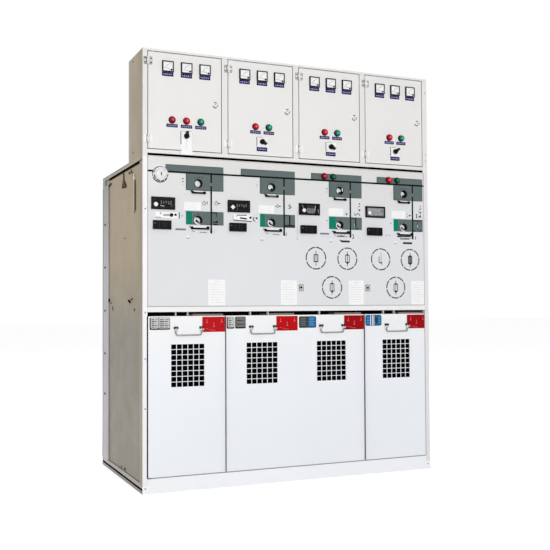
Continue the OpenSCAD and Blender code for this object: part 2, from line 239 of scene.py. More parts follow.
def edge_mask(tree, radius):
    """1 on sharp edges and 0 on flat faces, with the softened normal."""
    bevel = tree.nodes.new("ShaderNodeBevel")
    bevel.samples = 4
    bevel.inputs["Radius"].default_value = radius
    geometry = tree.nodes.new("ShaderNodeNewGeometry")
    dot = tree.nodes.new("ShaderNodeVectorMath")
    dot.operation = "DOT_PRODUCT"
    tree.links.new(bevel.outputs["Normal"], dot.inputs[0])
    tree.links.new(geometry.outputs["Normal"], dot.inputs[1])
    return remap(tree, dot.outputs["Value"], 0.995, 0.90, 0.0, 1.0), bevel.outputs["Normal"]


def side_shade_mask(tree):
    """1 on faces that look left or right, which take the painted shade colour."""
    split = tree.nodes.new("ShaderNodeSeparateXYZ")
    tree.links.new(tree.nodes.new("ShaderNodeTexCoord").outputs["Normal"], split.inputs[0])
    return remap(tree, maths(tree, "ABSOLUTE", split.outputs["X"]), 0.6, 0.8, 0.0, 1.0)


def height_mask(tree, coords, axis, low, high):
    """0 below one place along an axis and 1 above another, in metres."""
    split = tree.nodes.new("ShaderNodeSeparateXYZ")
    tree.links.new(coords, split.inputs[0])
    return remap(tree, split.outputs[axis], low, high, 0.0, 1.0)


def finish_material(name, color, rough, metallic=0.0, vary=0.05, vary_scale=4.0, grain=500.0,
                    grain_height=0.02, edge=0.35, edge_radius=0.8, coat=0.0, specular=0.5,
                    sides=None, fades=()):
    """A surface whose colour, roughness and bump vary a little, with edges moved towards mid grey as wear
    and as painted edge shade and highlight.

    Heights and radii are in millimetres. The side shade colour is a painted shade for faces that look left
    or right.
    Each painted light ramp is an axis, two places along it and the colour reached at the second.
    """
    mat = bpy.data.materials.new(name)
    mat.use_nodes = True
    tree = mat.node_tree
    shader = tree.nodes["Principled BSDF"]
    shader.inputs["Metallic"].default_value = metallic
    shader.inputs["Coat Weight"].default_value = coat
    shader.inputs["Coat Roughness"].default_value = 0.12
    shader.inputs["Specular IOR Level"].default_value = specular
    coords = tree.nodes.new("ShaderNodeTexCoord").outputs["Object"]
    broad = spread(tree, noise(tree, coords, vary_scale), 0.0, vary)
    fine = spread(tree, noise(tree, coords, grain / 4, detail=2.0), 0.0, vary / 2)
    body = lighter(color, vary * 0.5)
    # Faces that look left or right take a painted shade colour.
    if sides:
        body = tint(tree, body, side_shade_mask(tree), sides)
    # Painted light and shade: each ramp moves the colour along an axis towards the given one.
    for axis, low, high, other in fades:
        body = tint(tree, body, height_mask(tree, coords, axis, low, high), other)
    body = tint(tree, body, broad, BLACK)
    body = tint(tree, body, fine, shade(color, BLACK, 0.5))
    mask, soft_normal = edge_mask(tree, edge_radius * MM)
    # Edge wear, which also paints shade along the edges of pale colours and a highlight along the edges of
    # dark ones.
    wear_and_edge_shading = maths(tree, "MULTIPLY", mask, spread(tree, noise(tree, coords, 60.0), 0.0, edge))
    body = tint(tree, body, wear_and_edge_shading, shade(color, GREY, 0.5))
    tree.links.new(body, shader.inputs["Base Color"])
    tree.links.new(spread(tree, noise(tree, coords, vary_scale * 6), *rough), shader.inputs["Roughness"])
    bump = tree.nodes.new("ShaderNodeBump")
    bump.inputs["Distance"].default_value = grain_height * MM
    bump.inputs["Strength"].default_value = 0.6
    tree.links.new(noise(tree, coords, grain, detail=3.0), bump.inputs["Height"])
    tree.links.new(soft_normal, bump.inputs["Normal"])
    tree.links.new(bump.outputs["Normal"], shader.inputs["Normal"])
    return mat


def powder_coat(name, color, rough=(0.36, 0.46), vary=0.03, **more):
    return finish_material(name, color, rough, vary=vary, vary_scale=1.8, grain=420.0,
                           grain_height=0.05, coat=0.06, **more)


def plastic(name, color, rough=(0.35, 0.5), vary=0.08, specular=0.12):
    return finish_material(name, color, rough, vary=vary, vary_scale=30.0, grain=1500.0,
                           edge=0.2, edge_radius=0.4, specular=specular)


def metal(name, color, rough=(0.18, 0.30), **more):
    return finish_material(name, color, rough, metallic=1.0, vary=0.08, vary_scale=25.0,
                           grain=2500.0, grain_height=0.01, edge=0.2, edge_radius=0.4, **more)


def printed(name, color, rough=(0.45, 0.6), specular=0.1):
    return finish_material(name, color, rough, vary=0.05, vary_scale=40.0, grain=900.0,
                           grain_height=0.01, edge=0.1, edge_radius=0.15, specular=specular)


def lens(name, color, specular=0.12):
    return finish_material(name, color, (0.12, 0.2), vary=0.15, vary_scale=60.0, grain=300.0,
                           grain_height=0.03, edge=0.0, edge_radius=0.3, specular=specular)


def clear_cover(name):
    """Thin clear plastic over a dial, mostly see-through with a soft shine."""
    mat = bpy.data.materials.new(name)
    mat.use_nodes = True
    tree = mat.node_tree
    shader = tree.nodes["Principled BSDF"]
    shader.inputs["Base Color"].default_value = (0.95, 0.97, 0.98, 1)
    shader.inputs["Alpha"].default_value = 0.08
    coords = tree.nodes.new("ShaderNodeTexCoord").outputs["Object"]
    tree.links.new(spread(tree, noise(tree, coords, 90.0), 0.04, 0.12), shader.inputs["Roughness"])
    return mat


SIDE_TAN = srgb(193, 172, 139)
# Painted shade, olive, for the faces of pale posts and frames that look left or right.
SIDE_SHADE_OLIVE = srgb(164, 152, 120)
# Painted light on the instrument box: a painted olive reflection near its front edge, and lighter towards
# its back.
BOX_LIGHT = (("Y", BOX_LOW.y + 80 * MM, BOX_LOW.y + 10 * MM, srgb(172, 158, 116)),
             ("Y", BOX_HIGH.y - 60 * MM, BOX_HIGH.y, srgb(190, 182, 170)))
# Painted reflection: the side sheets turn yellow olive near the front.
NEAR_EDGE_REFLECTION = ("Y", FRONT + 150 * MM, FRONT + 70 * MM, srgb(182, 172, 122))
# Painted shade: the side sheets grow darker towards the bottom.
LOW_SHEET_SHADE = ("Z", 0.95, 0.62, srgb(152, 145, 127))
# Painted shade: the fascia grows darker towards its left end, and darker and warmer near its top.
FASCIA_SHADE = (("X", -0.3, LEFT, srgb(221, 222, 225)), ("Z", 1.12, 1.33, srgb(227, 226, 223)))
# Painted shade: the posts grow darker towards the right.
RIGHT_POST_SHADE = ("X", LEFT, RIGHT, srgb(233, 230, 234))
# Painted light: the covers grow lighter towards the top.
COVER_TOP_LIGHT = ("Z", 0.5, 0.7, srgb(247, 247, 248))
# Painted shade: the duct grows darker towards the top, under the roof.
DUCT_TOP_SHADE = ("Z", 0.9, 1.3, srgb(164, 162, 155))

MATS = {
    "housing": powder_coat("housing paint", srgb(243, 242, 243)),
    "frame": powder_coat("box frame paint", srgb(234, 232, 230), sides=SIDE_SHADE_OLIVE),
    "post": powder_coat("post paint", srgb(247, 243, 247), sides=SIDE_SHADE_OLIVE,
                        fades=(RIGHT_POST_SHADE,)),
    "roof": powder_coat("roof paint", srgb(238, 237, 236), sides=srgb(180, 172, 146)),
    "base": powder_coat("base paint", srgb(247, 249, 253), sides=srgb(150, 147, 141)),
    "door": powder_coat("door paint", srgb(237, 235, 233)),
    "fascia": powder_coat("fascia paint", srgb(227, 228, 231), fades=FASCIA_SHADE),
    "cover": powder_coat("cover paint", srgb(241, 244, 249), fades=(COVER_TOP_LIGHT,)),
    "side": powder_coat("side paint", SIDE_TAN, rough=(0.42, 0.55), vary=0.05, fades=(NEAR_EDGE_REFLECTION,
                                                                                      LOW_SHEET_SHADE)),
    "rear": powder_coat("rear paint", srgb(180, 167, 145), rough=(0.42, 0.55), vary=0.05),
    "box_side": powder_coat("box side paint", srgb(184, 163, 130), vary=0.05, fades=BOX_LIGHT),
    "duct": powder_coat("duct paint", srgb(208, 206, 212), rough=(0.34, 0.44), fades=(DUCT_TOP_SHADE,)),
    "rail_side": powder_coat("base rail side", srgb(199, 192, 186)),
    "tank": metal("tank steel", srgb(120, 122, 124), rough=(0.45, 0.6)),
    "slate": printed("slate plate", srgb(100, 112, 112)),
    # Dark slate: print on the plates, and painted shade along their edges.
    "dark_slate": printed("dark slate for print and painted edge shade", srgb(52, 60, 60)),
    "green": printed("green plate", srgb(0, 126, 102)),
    "black": plastic("black moulding", srgb(14, 14, 16), specular=0.06),
    # Dim grey for mouldings and print, and in a few places painted shade.
    "dim": plastic("dim grey for mouldings, print and painted shade", srgb(46, 46, 50)),
    "ink": printed("black print", srgb(12, 13, 15), specular=0.05),
    "grey_ink": printed("grey print", srgb(124, 124, 126)),
    "pale_ink": printed("pale print", srgb(200, 203, 208)),
    "white_label": printed("white label", srgb(255, 255, 255), rough=(0.3, 0.4), specular=0.3),
    "cream": printed("cream print", srgb(240, 240, 236)),
    "navy": printed("navy label", srgb(18, 10, 84)),
    "navy_mark": printed("navy label mark", srgb(180, 174, 218)),
    "red_label": printed("red label", srgb(190, 0, 14), rough=(0.3, 0.4)),
    "deep_red_label": printed("deep red label", srgb(158, 0, 10), rough=(0.3, 0.4)),
    "red_mark": printed("red label mark", srgb(240, 120, 124)),
    "blue_plate": printed("blue plate", srgb(24, 100, 152)),
    "blue_mark": printed("blue plate mark", srgb(110, 164, 200)),
    "dark_plate": printed("dark grey plate", srgb(52, 58, 62)),
    "silver_plate": printed("silver plate", srgb(208, 208, 206), rough=(0.35, 0.5)),
    "plate_mark": printed("plate mark", srgb(118, 118, 118)),
    "steel": metal("bright steel", srgb(222, 220, 212)),
    # The handle's wire is painted near black where its faces look left or right, darkening its legs as
    # painted shade.
    "wire": metal("handle steel", srgb(150, 150, 150), rough=(0.25, 0.38), sides=srgb(26, 26, 28)),
    "lug": plastic("dark handle eye", srgb(24, 24, 26)),
    "shaft": plastic("white shaft face", srgb(252, 254, 255), vary=0.03, specular=0.4),
    "zinc": metal("zinc screw", srgb(150, 152, 154), rough=(0.3, 0.42)),
    # Near black, for painted shadow in gaps, slots, recesses and grooves and behind the vents, and for a few
    # dark clips.
    "shadow": plastic("near black for painted shadow and clips", srgb(5, 5, 6), rough=(0.8, 0.9), specular=0.0),
    "tan_rod": plastic("painted rod", srgb(226, 214, 190)),
    "hook": plastic("brown hook", srgb(118, 104, 80)),
    # Dark brown, used as painted shade under the roof flange, along the sheet's foot and edges and down the
    # rod, and for the horn and small catches.
    "brown_shade_and_fitting": plastic("brown for painted shade and fittings", srgb(84, 72, 50), rough=(0.7, 0.8), specular=0.05),
    # The rail seen inside the slot over the covers, painted as it looks in shade.
    "slot_rail_shade": plastic("rail painted in shade inside the slot", srgb(138, 122, 114), rough=(0.7, 0.8)),
    # Grey painted shade in narrow gaps, joints and seams.
    "gap_shade_grey": plastic("painted grey shade in gaps", srgb(146, 145, 145), rough=(0.7, 0.8)),
    # Each lamp's rim colour is a darker painted shade at the edge of its lens, and its core colour a paler
    # painted highlight in its middle.
    "red_rim": lens("red lens rim", srgb(70, 4, 14)),
    "red_lens": lens("red lens", srgb(206, 0, 28)),
    "red_core": lens("red lens core", srgb(238, 80, 96), specular=0.4),
    "dark_red_lens": lens("dark red lens", srgb(150, 6, 32)),
    "dark_red_core": lens("dark red lens core", srgb(206, 62, 82), specular=0.4),
    "green_rim": lens("green lens rim", srgb(4, 48, 36)),
    "green_lens": lens("green lens", srgb(0, 120, 88)),
    "green_core": lens("green lens core", srgb(60, 180, 150), specular=0.4),
    "dark_green_lens": lens("dark green lens", srgb(6, 74, 48)),
    "dark_green_core": lens("dark green lens core", srgb(36, 118, 84), specular=0.4),
    "clear": clear_cover("clear cover"),
}

NODE_MATS = {
    "base_frame": "base", "front_posts": "post", "roof_panel": "roof", "front_rail": "housing",
    "lv_housing": "box_side", "lv_front_frame": "frame", "lv_door": "door",
    "lv_meters": "black", "lv_selector": "black", "lift_handle": "wire",
    "side_panel": "side", "rear_panel": "rear", "rear_posts": "duct", "switch_tank": "tank",
    "fascia": "fascia", "mimic_plates": "slate", "shaft_collars": "black",
    "operating_shafts": "shaft", "lever_bars": "black", "indicator_units": "black",
    "voltage_boxes": "black", "pressure_gauge": "white_label", "key_locks": "silver_plate",
    "cable_cover": "cover",
}


def dress_cad():
    """Each CAD node takes the material of the longest name that its own name starts with."""
    for name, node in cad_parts.items():
        for start in sorted(NODE_MATS, key=len):
            if name.startswith(start):
                for slot in node.material_slots:
                    slot.material = MATS[NODE_MATS[start]]


# ---- building shapes ----

# Turns that lay a drawing made for the front onto another side of the cabinet
FACES = {
    "front": Matrix.Identity(3),
    "left": Matrix(((0, 1, 0), (-1, 0, 0), (0, 0, 1))),
    "right": Matrix(((0, -1, 0), (1, 0, 0), (0, 0, 1))),
    "back": Matrix(((-1, 0, 0), (0, -1, 0), (0, 0, 1))),
}


def rounded(x0, x1, z0, z1, r=0.0, steps=4):
    """Outline of a rectangle with round corners, anticlockwise seen from the front."""
    if r <= 0:
        return [(x0, z0), (x1, z0), (x1, z1), (x0, z1)]
    points = []
    corners = ((x1 - r, z0 + r, -90), (x1 - r, z1 - r, 0), (x0 + r, z1 - r, 90), (x0 + r, z0 + r, 180))
    for cx, cz, start in corners:
        for i in range(steps + 1):
            a = math.radians(start + 90 * i / steps)
            points.append((cx + r * math.cos(a), cz + r * math.sin(a)))
    return points


def circle(x, z, r, steps=32):
    return [(x + r * math.cos(2 * math.pi * i / steps), z + r * math.sin(2 * math.pi * i / steps))
            for i in range(steps)]


def arc_band(x, z, r, width, start, end, steps=8):
    """Outline of a piece of a ring; angles in degrees, anticlockwise from the right."""
    angles = [math.radians(start + (end - start) * i / steps) for i in range(steps + 1)]
    outer, inner = r + width / 2, r - width / 2
    return ([(x + outer * math.cos(a), z + outer * math.sin(a)) for a in angles]
            + [(x + inner * math.cos(a), z + inner * math.sin(a)) for a in reversed(angles)])


def stroke(x0, z0, x1, z1, width):
    """Outline of a straight stroke between two points."""
    along = Vector((x1 - x0, z1 - z0)).normalized() * (width / 2)
    ax, az = -along.y, along.x
    return [(x0 - ax, z0 - az), (x1 - ax, z1 - az), (x1 + ax, z1 + az), (x0 + ax, z0 + az)]


def drawn_in(points, amount):
    """The outline moved inwards by an amount, for an even chamfer."""
    moved = []
    for i, here in enumerate(points):
        first = (Vector(here) - Vector(points[i - 1])).normalized()
        second = (Vector(points[(i + 1) % len(points)]) - Vector(here)).normalized()
        left = Vector((-first.y, first.x))
        inward = (left + Vector((-second.y, second.x))).normalized()
        moved.append(tuple(Vector(here) + inward * (amount / max(0.4, inward.dot(left)))))
    return moved


class Piece:
    """One mesh made of many shapes. Shapes are drawn for the front; y is the plane that carries them."""

    def __init__(self, name, body, slot, face="front", at=(0, 0, 0)):
        self.name, self.body, self.slot = name, body, slot
        self.turn, self.at = FACES[face], Vector(at)
        self.bm = bmesh.new()
        self.keys = []

    def _vert(self, x, y, z):
        return self.bm.verts.new(self.at + self.turn @ Vector((x, y, z)))

    def _ring(self, points, y):
        return [self._vert(x, y, z) for x, z in points]

    def _face(self, verts, mat, smooth=False):
        if mat not in self.keys:
            self.keys.append(mat)
        face = self.bm.faces.new(verts)
        face.material_index = self.keys.index(mat)
        face.smooth = smooth

    def _wall(self, low, high, mat, smooth=False):
        for i in range(len(low)):
            j = (i + 1) % len(low)
            self._face([low[i], low[j], high[j], high[i]], mat, smooth)

    def slab(self, points, y, thick, mat, chamfer=0.0):
        """An outline standing out of the plane y by its thickness, with a chamfered front edge."""
        back = self._ring(points, y)
        front = self._ring(points, y - thick + chamfer)
        self._wall(back, front, mat)
        if chamfer > 0:
            lip = self._ring(drawn_in(points, chamfer), y - thick)
            self._wall(front, lip, mat)
            front = lip
        self._face(front, mat)
        self._face(list(reversed(back)), mat)

    def frame(self, x0, x1, z0, z1, wide, y, thick, mat, r=0.0):
        """A rectangular frame of even width."""
        outer = rounded(x0, x1, z0, z1, r)
        inner = rounded(x0 + wide, x1 - wide, z0 + wide, z1 - wide, max(r - wide, r / 2))
        rings = [self._ring(outer, y), self._ring(outer, y - thick),
                 self._ring(inner, y - thick), self._ring(inner, y)]
        for i in range(4):
            self._wall(rings[i], rings[(i + 1) % 4], mat)

    def turned(self, x, z, y, profile, mat, steps=32, smooth=True):
        """A turned shape about an axis along Y: profile lists radius and height above the plane y."""
        rings = [[self._vert(x, y - h, z)] if r == 0 else self._ring(circle(x, z, r, steps), y - h)
                 for r, h in profile]
        for low, high in zip(rings, rings[1:]):
            for i in range(steps):
                j = (i + 1) % steps
                if len(high) == 1:
                    self._face([low[i], low[j], high[0]], mat, smooth)
                elif len(low) == 1:
                    self._face([low[0], high[j], high[i]], mat, smooth)
                else:
                    self._face([low[i], low[j], high[j], high[i]], mat, smooth)

    def rod(self, points, r, mat, steps=10):
        """A round rod through points (x, y, z), with closed ends."""
        points = [Vector(p) for p in points]
        rings = []
        side = (points[1] - points[0]).orthogonal().normalized()
        for i, here in enumerate(points):
            ahead = (points[min(i + 1, len(points) - 1)] - points[max(i - 1, 0)]).normalized()
            side = (side - ahead * side.dot(ahead)).normalized()
            up = ahead.cross(side)
            turns = [2 * math.pi * s / steps for s in range(steps)]
            rings.append([self._vert(*(here + (side * math.cos(a) + up * math.sin(a)) * r)) for a in turns])
        for low, high in zip(rings, rings[1:]):
            self._wall(low, high, mat, True)
        self._face(list(reversed(rings[0])), mat)
        self._face(rings[-1], mat)

    def screw(self, x, z, y, r, mat="zinc"):
        """A pan-head screw on its washer, with a cross recess drawn as dark strokes of painted shadow."""
        self.turned(x, z, y, [(r * 1.5, 0), (r * 1.5, r * 0.18), (r * 1.08, r * 0.2)], mat, 20)
        head = [(r, 0), (r, r * 0.25), (r * 0.8, r * 0.5), (r * 0.4, r * 0.6), (0, r * 0.6)]
        self.turned(x, z, y - r * 0.18, head, mat, 20)
        for turn in (45, 135):
            dx, dz = math.cos(math.radians(turn)) * r * 0.55, math.sin(math.radians(turn)) * r * 0.55
            self.slab(stroke(x - dx, z - dz, x + dx, z + dz, r * 0.22), y - r * 0.74, r * 0.08, "shadow")

    def done(self):
        mesh = bpy.data.meshes.new(self.name)
        bmesh.ops.recalc_face_normals(self.bm, faces=self.bm.faces)
        self.bm.to_mesh(mesh)
        self.bm.free()
        for key in self.keys:
            mesh.materials.append(MATS[key])
        obj = bpy.data.objects.new(self.name, mesh)
        bpy.context.scene.collection.objects.link(obj)
        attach(obj, self.body)
        return obj


class Drawing:
    """Thin marks on a plane of a piece, placed in millimetres right of and below an origin.

    Each mark is a hair thicker than the one before, so that marks that cross never share a face.
    """

    STEP = 0.004

    def __init__(self, piece, x0, z0, y, thick=0.1):
        self.piece, self.x0, self.z0, self.y, self.thick = piece, x0, z0, y, thick

    def at(self, x, drop):
        return self.x0 + x * MM, self.z0 - drop * MM

    def outline(self, points, mat):
        self.thick += self.STEP
        self.piece.slab(points, self.y, self.thick * MM, mat)

    def line(self, x0, drop0, x1, drop1, width, mat):
        self.outline(stroke(*self.at(x0, drop0), *self.at(x1, drop1), width * MM), mat)

    def box(self, x0, x1, top, low, mat, r=0.0):
        (a, high), (b, bottom) = self.at(x0, top), self.at(x1, low)
        self.outline(rounded(a, b, bottom, high, r * MM), mat)

    def dot(self, x, drop, r, mat, steps=20):
        self.outline(circle(*self.at(x, drop), r * MM, steps), mat)

    def arc(self, x, drop, r, width, start, end, mat):
        steps = max(3, int(abs(end - start) / 12))
        self.outline(arc_band(*self.at(x, drop), r * MM, width * MM, start, end, steps), mat)

    def shape(self, mat, *points):
        self.outline([self.at(x, drop) for x, drop in reversed(points)], mat)

    def frame(self, x0, x1, top, low, wide, mat, r=0.0):
        (a, high), (b, bottom) = self.at(x0, top), self.at(x1, low)
        self.thick += self.STEP
        self.piece.frame(a, b, bottom, high, wide * MM, self.y, self.thick * MM, mat, r * MM)

    def plate(self, x0, x1, top, low, thick, mat, r=0.0, chamfer=0.15):
        """A plate that stands out further, with a chamfered edge."""
        (a, high), (b, bottom) = self.at(x0, top), self.at(x1, low)
        self.piece.slab(rounded(a, b, bottom, high, r * MM), self.y, thick * MM, mat, chamfer * MM)

    def turned(self, x, drop, profile, mat, steps=28):
        self.piece.turned(*self.at(x, drop), self.y, [(r * MM, h * MM) for r, h in profile], mat, steps)

    def raised(self, height):
        """The same drawing on a plane that stands out further."""
        return Drawing(self.piece, self.x0, self.z0, self.y - height * MM)


def on_fascia(piece, k, y=FRONT):
    """A drawing in millimetres right of bay line k and below the fascia's top edge."""
    return Drawing(piece, bay_x(k), FASCIA_HIGH.z, y)


def on_cover(piece, k):
    """A drawing in millimetres right of bay line k and below the covers' top edge."""
    return Drawing(piece, bay_x(k), COVER_TOP, FRONT)


def knob(r, height):
    """Profile of a small round knob with a soft rim."""
    return [(r, 0), (r, height * 0.6), (r * 0.85, height * 0.9), (r * 0.5, height), (0, height)]


# ---- instrument doors ----

DOOR_RISE = 3
LAMP_DROP = 274
LAMP_R = 15
METER_W, METER_H, METER_RIM = 48, 45, 4.6
METER_DROP, METER_PITCH = 58, 79
METER_CARD = 5.5
SELECTOR_DROP = 336
SELECTOR_TURN = [0, 130, 130, 45]
SELECTOR_REACH = 15
HINGE_DROPS = (41, 356)
HINGE_LEAF_X, HINGE_LEAF_W, HINGE_LEAF_H, HINGE_LEAF_T = 7, 10.5, 31, 3.3
HINGE_R = 6.5
LABEL_W, LABEL_MARKS = 48, 5
DOOR_1_TAG = dict(width=50, top=316, low=395)


def door_origin(k):
    """Middle of door k's fittings and the height that drops are counted from."""
    low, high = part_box(f"lv_lamps_{k + 1}")
    return (low.x + high.x) / 2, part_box(f"lv_door_{k + 1}")[1].z + DOOR_RISE * MM


def on_door(piece, k, y=FRONT):
    return Drawing(piece, *door_origin(k), y)


def lamp_places(k):
    """Lens colours of door k with their places from its middle."""
    colors = ["dark_red", "red", "green"] if k == 0 else ["red", "green"]
    low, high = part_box(f"lv_lamps_{k + 1}")
    reach = (high.x - low.x) / 2 / MM - LAMP_R
    return [(color, reach * (2 * i / (len(colors) - 1) - 1)) for i, color in enumerate(colors)]


# The darker lens colour painted as shade round the edge of each lens.
LENS_RIM_SHADES = {"dark_red": "red_rim", "red": "red_rim", "green": "green_rim", "dark_green": "green_rim"}


def pilot_lamp(drawing, x, drop, r, color):
    """A dark bezel, a lens skirt in a darker colour as painted shade, and a domed lens with a paler core as
    a painted highlight.
    """
    drawing.turned(x, drop, [(r, 0), (r, 2.5), (r * 0.96, 3.6), (r * 0.9, 3.8)], "black", 36)
    drawing.turned(x, drop, [(r * 0.93, 3.0), (r * 0.92, 7), (r * 0.86, 9.5), (r * 0.78, 11)],
                   LENS_RIM_SHADES[color], 36)
    dome = [(r * 0.8 * math.cos(a), 10.5 + r * 0.4 * math.sin(a))
            for a in (math.radians(9 * i) for i in range(8))]
    drawing.turned(x, drop, dome, f"{color}_lens", 36)
    # The paler core is a painted highlight on the dome.
    r_core, h_core = dome[-1]
    drawing.turned(x, drop, [(r_core, h_core), (r_core * 0.5, h_core + 0.25), (0, h_core + 0.3)],
                   f"{color}_core", 36)


def add_door_lamps(k):
    piece = Piece(f"door_lamps_{k + 1}", f"door_{k + 1}", "lamp_lens")
    drawing = on_door(piece, k)
    for color, x in lamp_places(k):
        pilot_lamp(drawing, x, LAMP_DROP, LAMP_R, color)
    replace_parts(piece.done(), f"lv_lamps_{k + 1}")


def meter_places():
    return [i * METER_PITCH for i in (-1, 0, 1)]


def add_meter_faces(k):
    """Dial card, scale, needle and pivot cover of each meter, under a clear front and a black rim."""
    piece = Piece(f"meter_faces_{k + 1}", f"door_{k + 1}", "black_plastic")
    rim = Drawing(piece, *door_origin(k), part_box(f"lv_meters_{k + 1}")[0].y)
    card = on_door(piece, k, FRONT - METER_CARD * MM)
    for x in meter_places():
        left, right = x - METER_W / 2, x + METER_W / 2
        top, low = METER_DROP - METER_H / 2, METER_DROP + METER_H / 2
        rim.frame(left, right, top, low, METER_RIM, "black", 1.5)
        card.plate(left + 3, right - 3, top + 3, low - 3, 0.3, "white_label", 0.5, 0.0)
        face = card.raised(0.3)
        pivot_x, pivot_drop = x + 14.5, METER_DROP + 12.5
        face.arc(pivot_x, pivot_drop, 24, 0.8, 98, 168, "grey_ink")
        for i in range(11):
            a = math.radians(98 + 7 * i)
            reach = 28 if i % 5 == 0 else 26.5
            face.line(pivot_x + 24 * math.cos(a), pivot_drop - 24 * math.sin(a),
                      pivot_x + reach * math.cos(a), pivot_drop - reach * math.sin(a), 0.7, "grey_ink")
        face.box(x - 16, x - 9, METER_DROP + 7, METER_DROP + 9.5, "pale_ink")
        face.raised(0.6).line(pivot_x, pivot_drop, pivot_x - 21, pivot_drop - 5.5, 1.2, "ink")
        face.turned(pivot_x, pivot_drop, knob(4.2, 1.6), "black", 24)
        face.raised(1.2).plate(left + 3, right - 3, top + 3, low - 3, 0.2, "clear", 0.5, 0.0)
    piece.done()


def navy_label(drawing, x, top, height, width=LABEL_W):
    """A navy strip with a row of pale blocks in place of words."""
    drawing.plate(x - width / 2, x + width / 2, top, top + height, 0.8, "navy", 2)
    marks = drawing.raised(0.8)
    step = (width - 8) / LABEL_MARKS
    middle = top + height / 2
    for i in range(LABEL_MARKS):
        a = x - width / 2 + 4 + step * (i + 0.2)
        half = 2.6 + 0.5 * (i % 2)
        marks.box(a, a + step * 0.62, middle - half, middle + half, "navy_mark", 0.8)
        marks.box(a + step * 0.22, a + step * 0.4, middle - half * 0.4, middle + half * 0.5, "navy")


def selector_scale(drawing):
    for turn in range(-120, 150, 30):
        a = math.radians(90 - turn)
        drawing.line(17.5 * math.cos(a), SELECTOR_DROP - 17.5 * math.sin(a),
                     20.5 * math.cos(a), SELECTOR_DROP - 20.5 * math.sin(a), 0.8, "grey_ink")


def add_door_labels(k):
    piece = Piece(f"door_labels_{k + 1}", f"door_{k + 1}", "housing_white")
    drawing = on_door(piece, k)
    for x in meter_places():
        navy_label(drawing, x, METER_DROP + METER_H / 2 + 0.5, 16)
    for _, x in lamp_places(k):
        navy_label(drawing, x, 290, 13.5)
    if k == 0:
        half = DOOR_1_TAG["width"] / 2
        top, low = DOOR_1_TAG["top"], DOOR_1_TAG["low"]
        drawing.plate(-half, half, top, low, 0.8, "white_label", 1)
        marks = drawing.raised(0.8)
        marks.line(-half + 1.2, top + 1, -half + 1.2, low - 24, 3.0, "dim")
        marks.line(-half + 1, top + 0.8, half - 3, top + 0.8, 1.2, "grey_ink")
        marks.line(half - 0.6, top + 3, half - 0.6, low - 4, 0.8, "pale_ink")
        marks.line(1, SELECTOR_DROP + 17, 1, low - 8, 1.6, "pale_ink")
    else:
        drawing.plate(-26, 24, 316, 358, 0.8, "white_label", 1)
        marks = drawing.raised(0.8)
        marks.line(-24.2, 317, -24.2, 357, 3.4, "dim")
        marks.line(-25, 317, 4, 317, 1.4, "grey_ink")
        navy_label(drawing, -1, 359, 17.5)
    selector_scale(drawing.raised(0.8))
    piece.done()


def add_sill_tag():
    """The part of door 1's tall tag that hangs over the sill: it rides on the door, clear of the sill."""
    piece = Piece("door_tag_1", "door_1", "housing_white")
    drawing = on_door(piece, 0, FRONT)
    half = DOOR_1_TAG["width"] / 2
    lift = 0.6
    low_end = 412
    (a, high), (b, bottom) = drawing.at(-half, DOOR_1_TAG["low"] - 8), drawing.at(half, low_end)
    piece.slab(rounded(a, b, bottom, high, 1 * MM), FRONT - lift * MM, 0.5 * MM, "white_label", 0.1 * MM)
    marks = drawing.raised(lift + 0.5)
    marks.line(-half + 0.8, DOOR_1_TAG["low"] - 8, -half + 0.8, low_end - 1, 0.9, "grey_ink")
    piece.done()


def add_door_lock(k):
    """A broken ring round a key barrel."""
    piece = Piece(f"door_lock_{k + 1}", f"door_{k + 1}", "housing_white")
    low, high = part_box(f"lv_door_{k + 1}")
    drawing = Drawing(piece, high.x - 26 * MM, door_origin(k)[1], FRONT)
    drop = 199
    drawing.turned(0, drop, [(15, 0), (15, 0.8), (14.2, 1.2), (0, 1.2)], "housing", 40)
    face = drawing.raised(1.2)
    face.turned(0, drop, [(12, 0), (12, 1.2), (11, 1.8), (9.4, 1.8), (8.6, 0.6), (0, 0.6)], "housing", 40)
    face = face.raised(1.8)
    face.arc(0, drop, 11, 3.6, 195, 300, "ink")
    face.arc(0, drop, 11, 2.8, 320, 380, "dim")
    face.arc(0, drop, 11, 3.2, 55, 125, "ink")
    face.line(-1, drop - 5, 4, drop + 3, 2, "grey_ink")
    piece.done()


def add_selector_mark(k):
    """White pointer line along the selector's grip."""
    low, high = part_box(f"lv_selector_{k + 1}")
    piece = Piece(f"selector_mark_{k + 1}", f"selector_{k + 1}", "black_plastic")
    a = math.radians(90 - SELECTOR_TURN[k])
    drawing = on_door(piece, k, low.y)
    drawing.line(6 * math.cos(a), SELECTOR_DROP - 6 * math.sin(a), SELECTOR_REACH * math.cos(a),
                 SELECTOR_DROP - SELECTOR_REACH * math.sin(a), 1.4, "grey_ink")
    piece.done()


def hinge_leaf(drawing, x, drop, line):
    """A leaf plate; the upper ones have a painted shadow line round them where the joint is and two
    countersunk screws, and the lower ones a brighter white as painted light.
    """
    half_w, half_h = HINGE_LEAF_W / 2, HINGE_LEAF_H / 2
    # The lower leaves take a brighter white as painted light.
    mat = "housing" if drop == HINGE_DROPS[0] else "white_label"
    drawing.plate(x - half_w, x + half_w, drop - half_h, drop + half_h, HINGE_LEAF_T, mat, 2.5)
    face = drawing.raised(HINGE_LEAF_T)
    if drop > HINGE_DROPS[0]:
        return
    # The dark frame is painted shadow where the joint round the leaf is.
    face.frame(x - half_w + 0.4, x + half_w - 0.4, drop - half_h + 0.4, drop + half_h - 0.4, 1.8,
               line, 2.2)
    for side in (-1, 1):
        face.dot(x, drop + side * 8, 2.8, line)


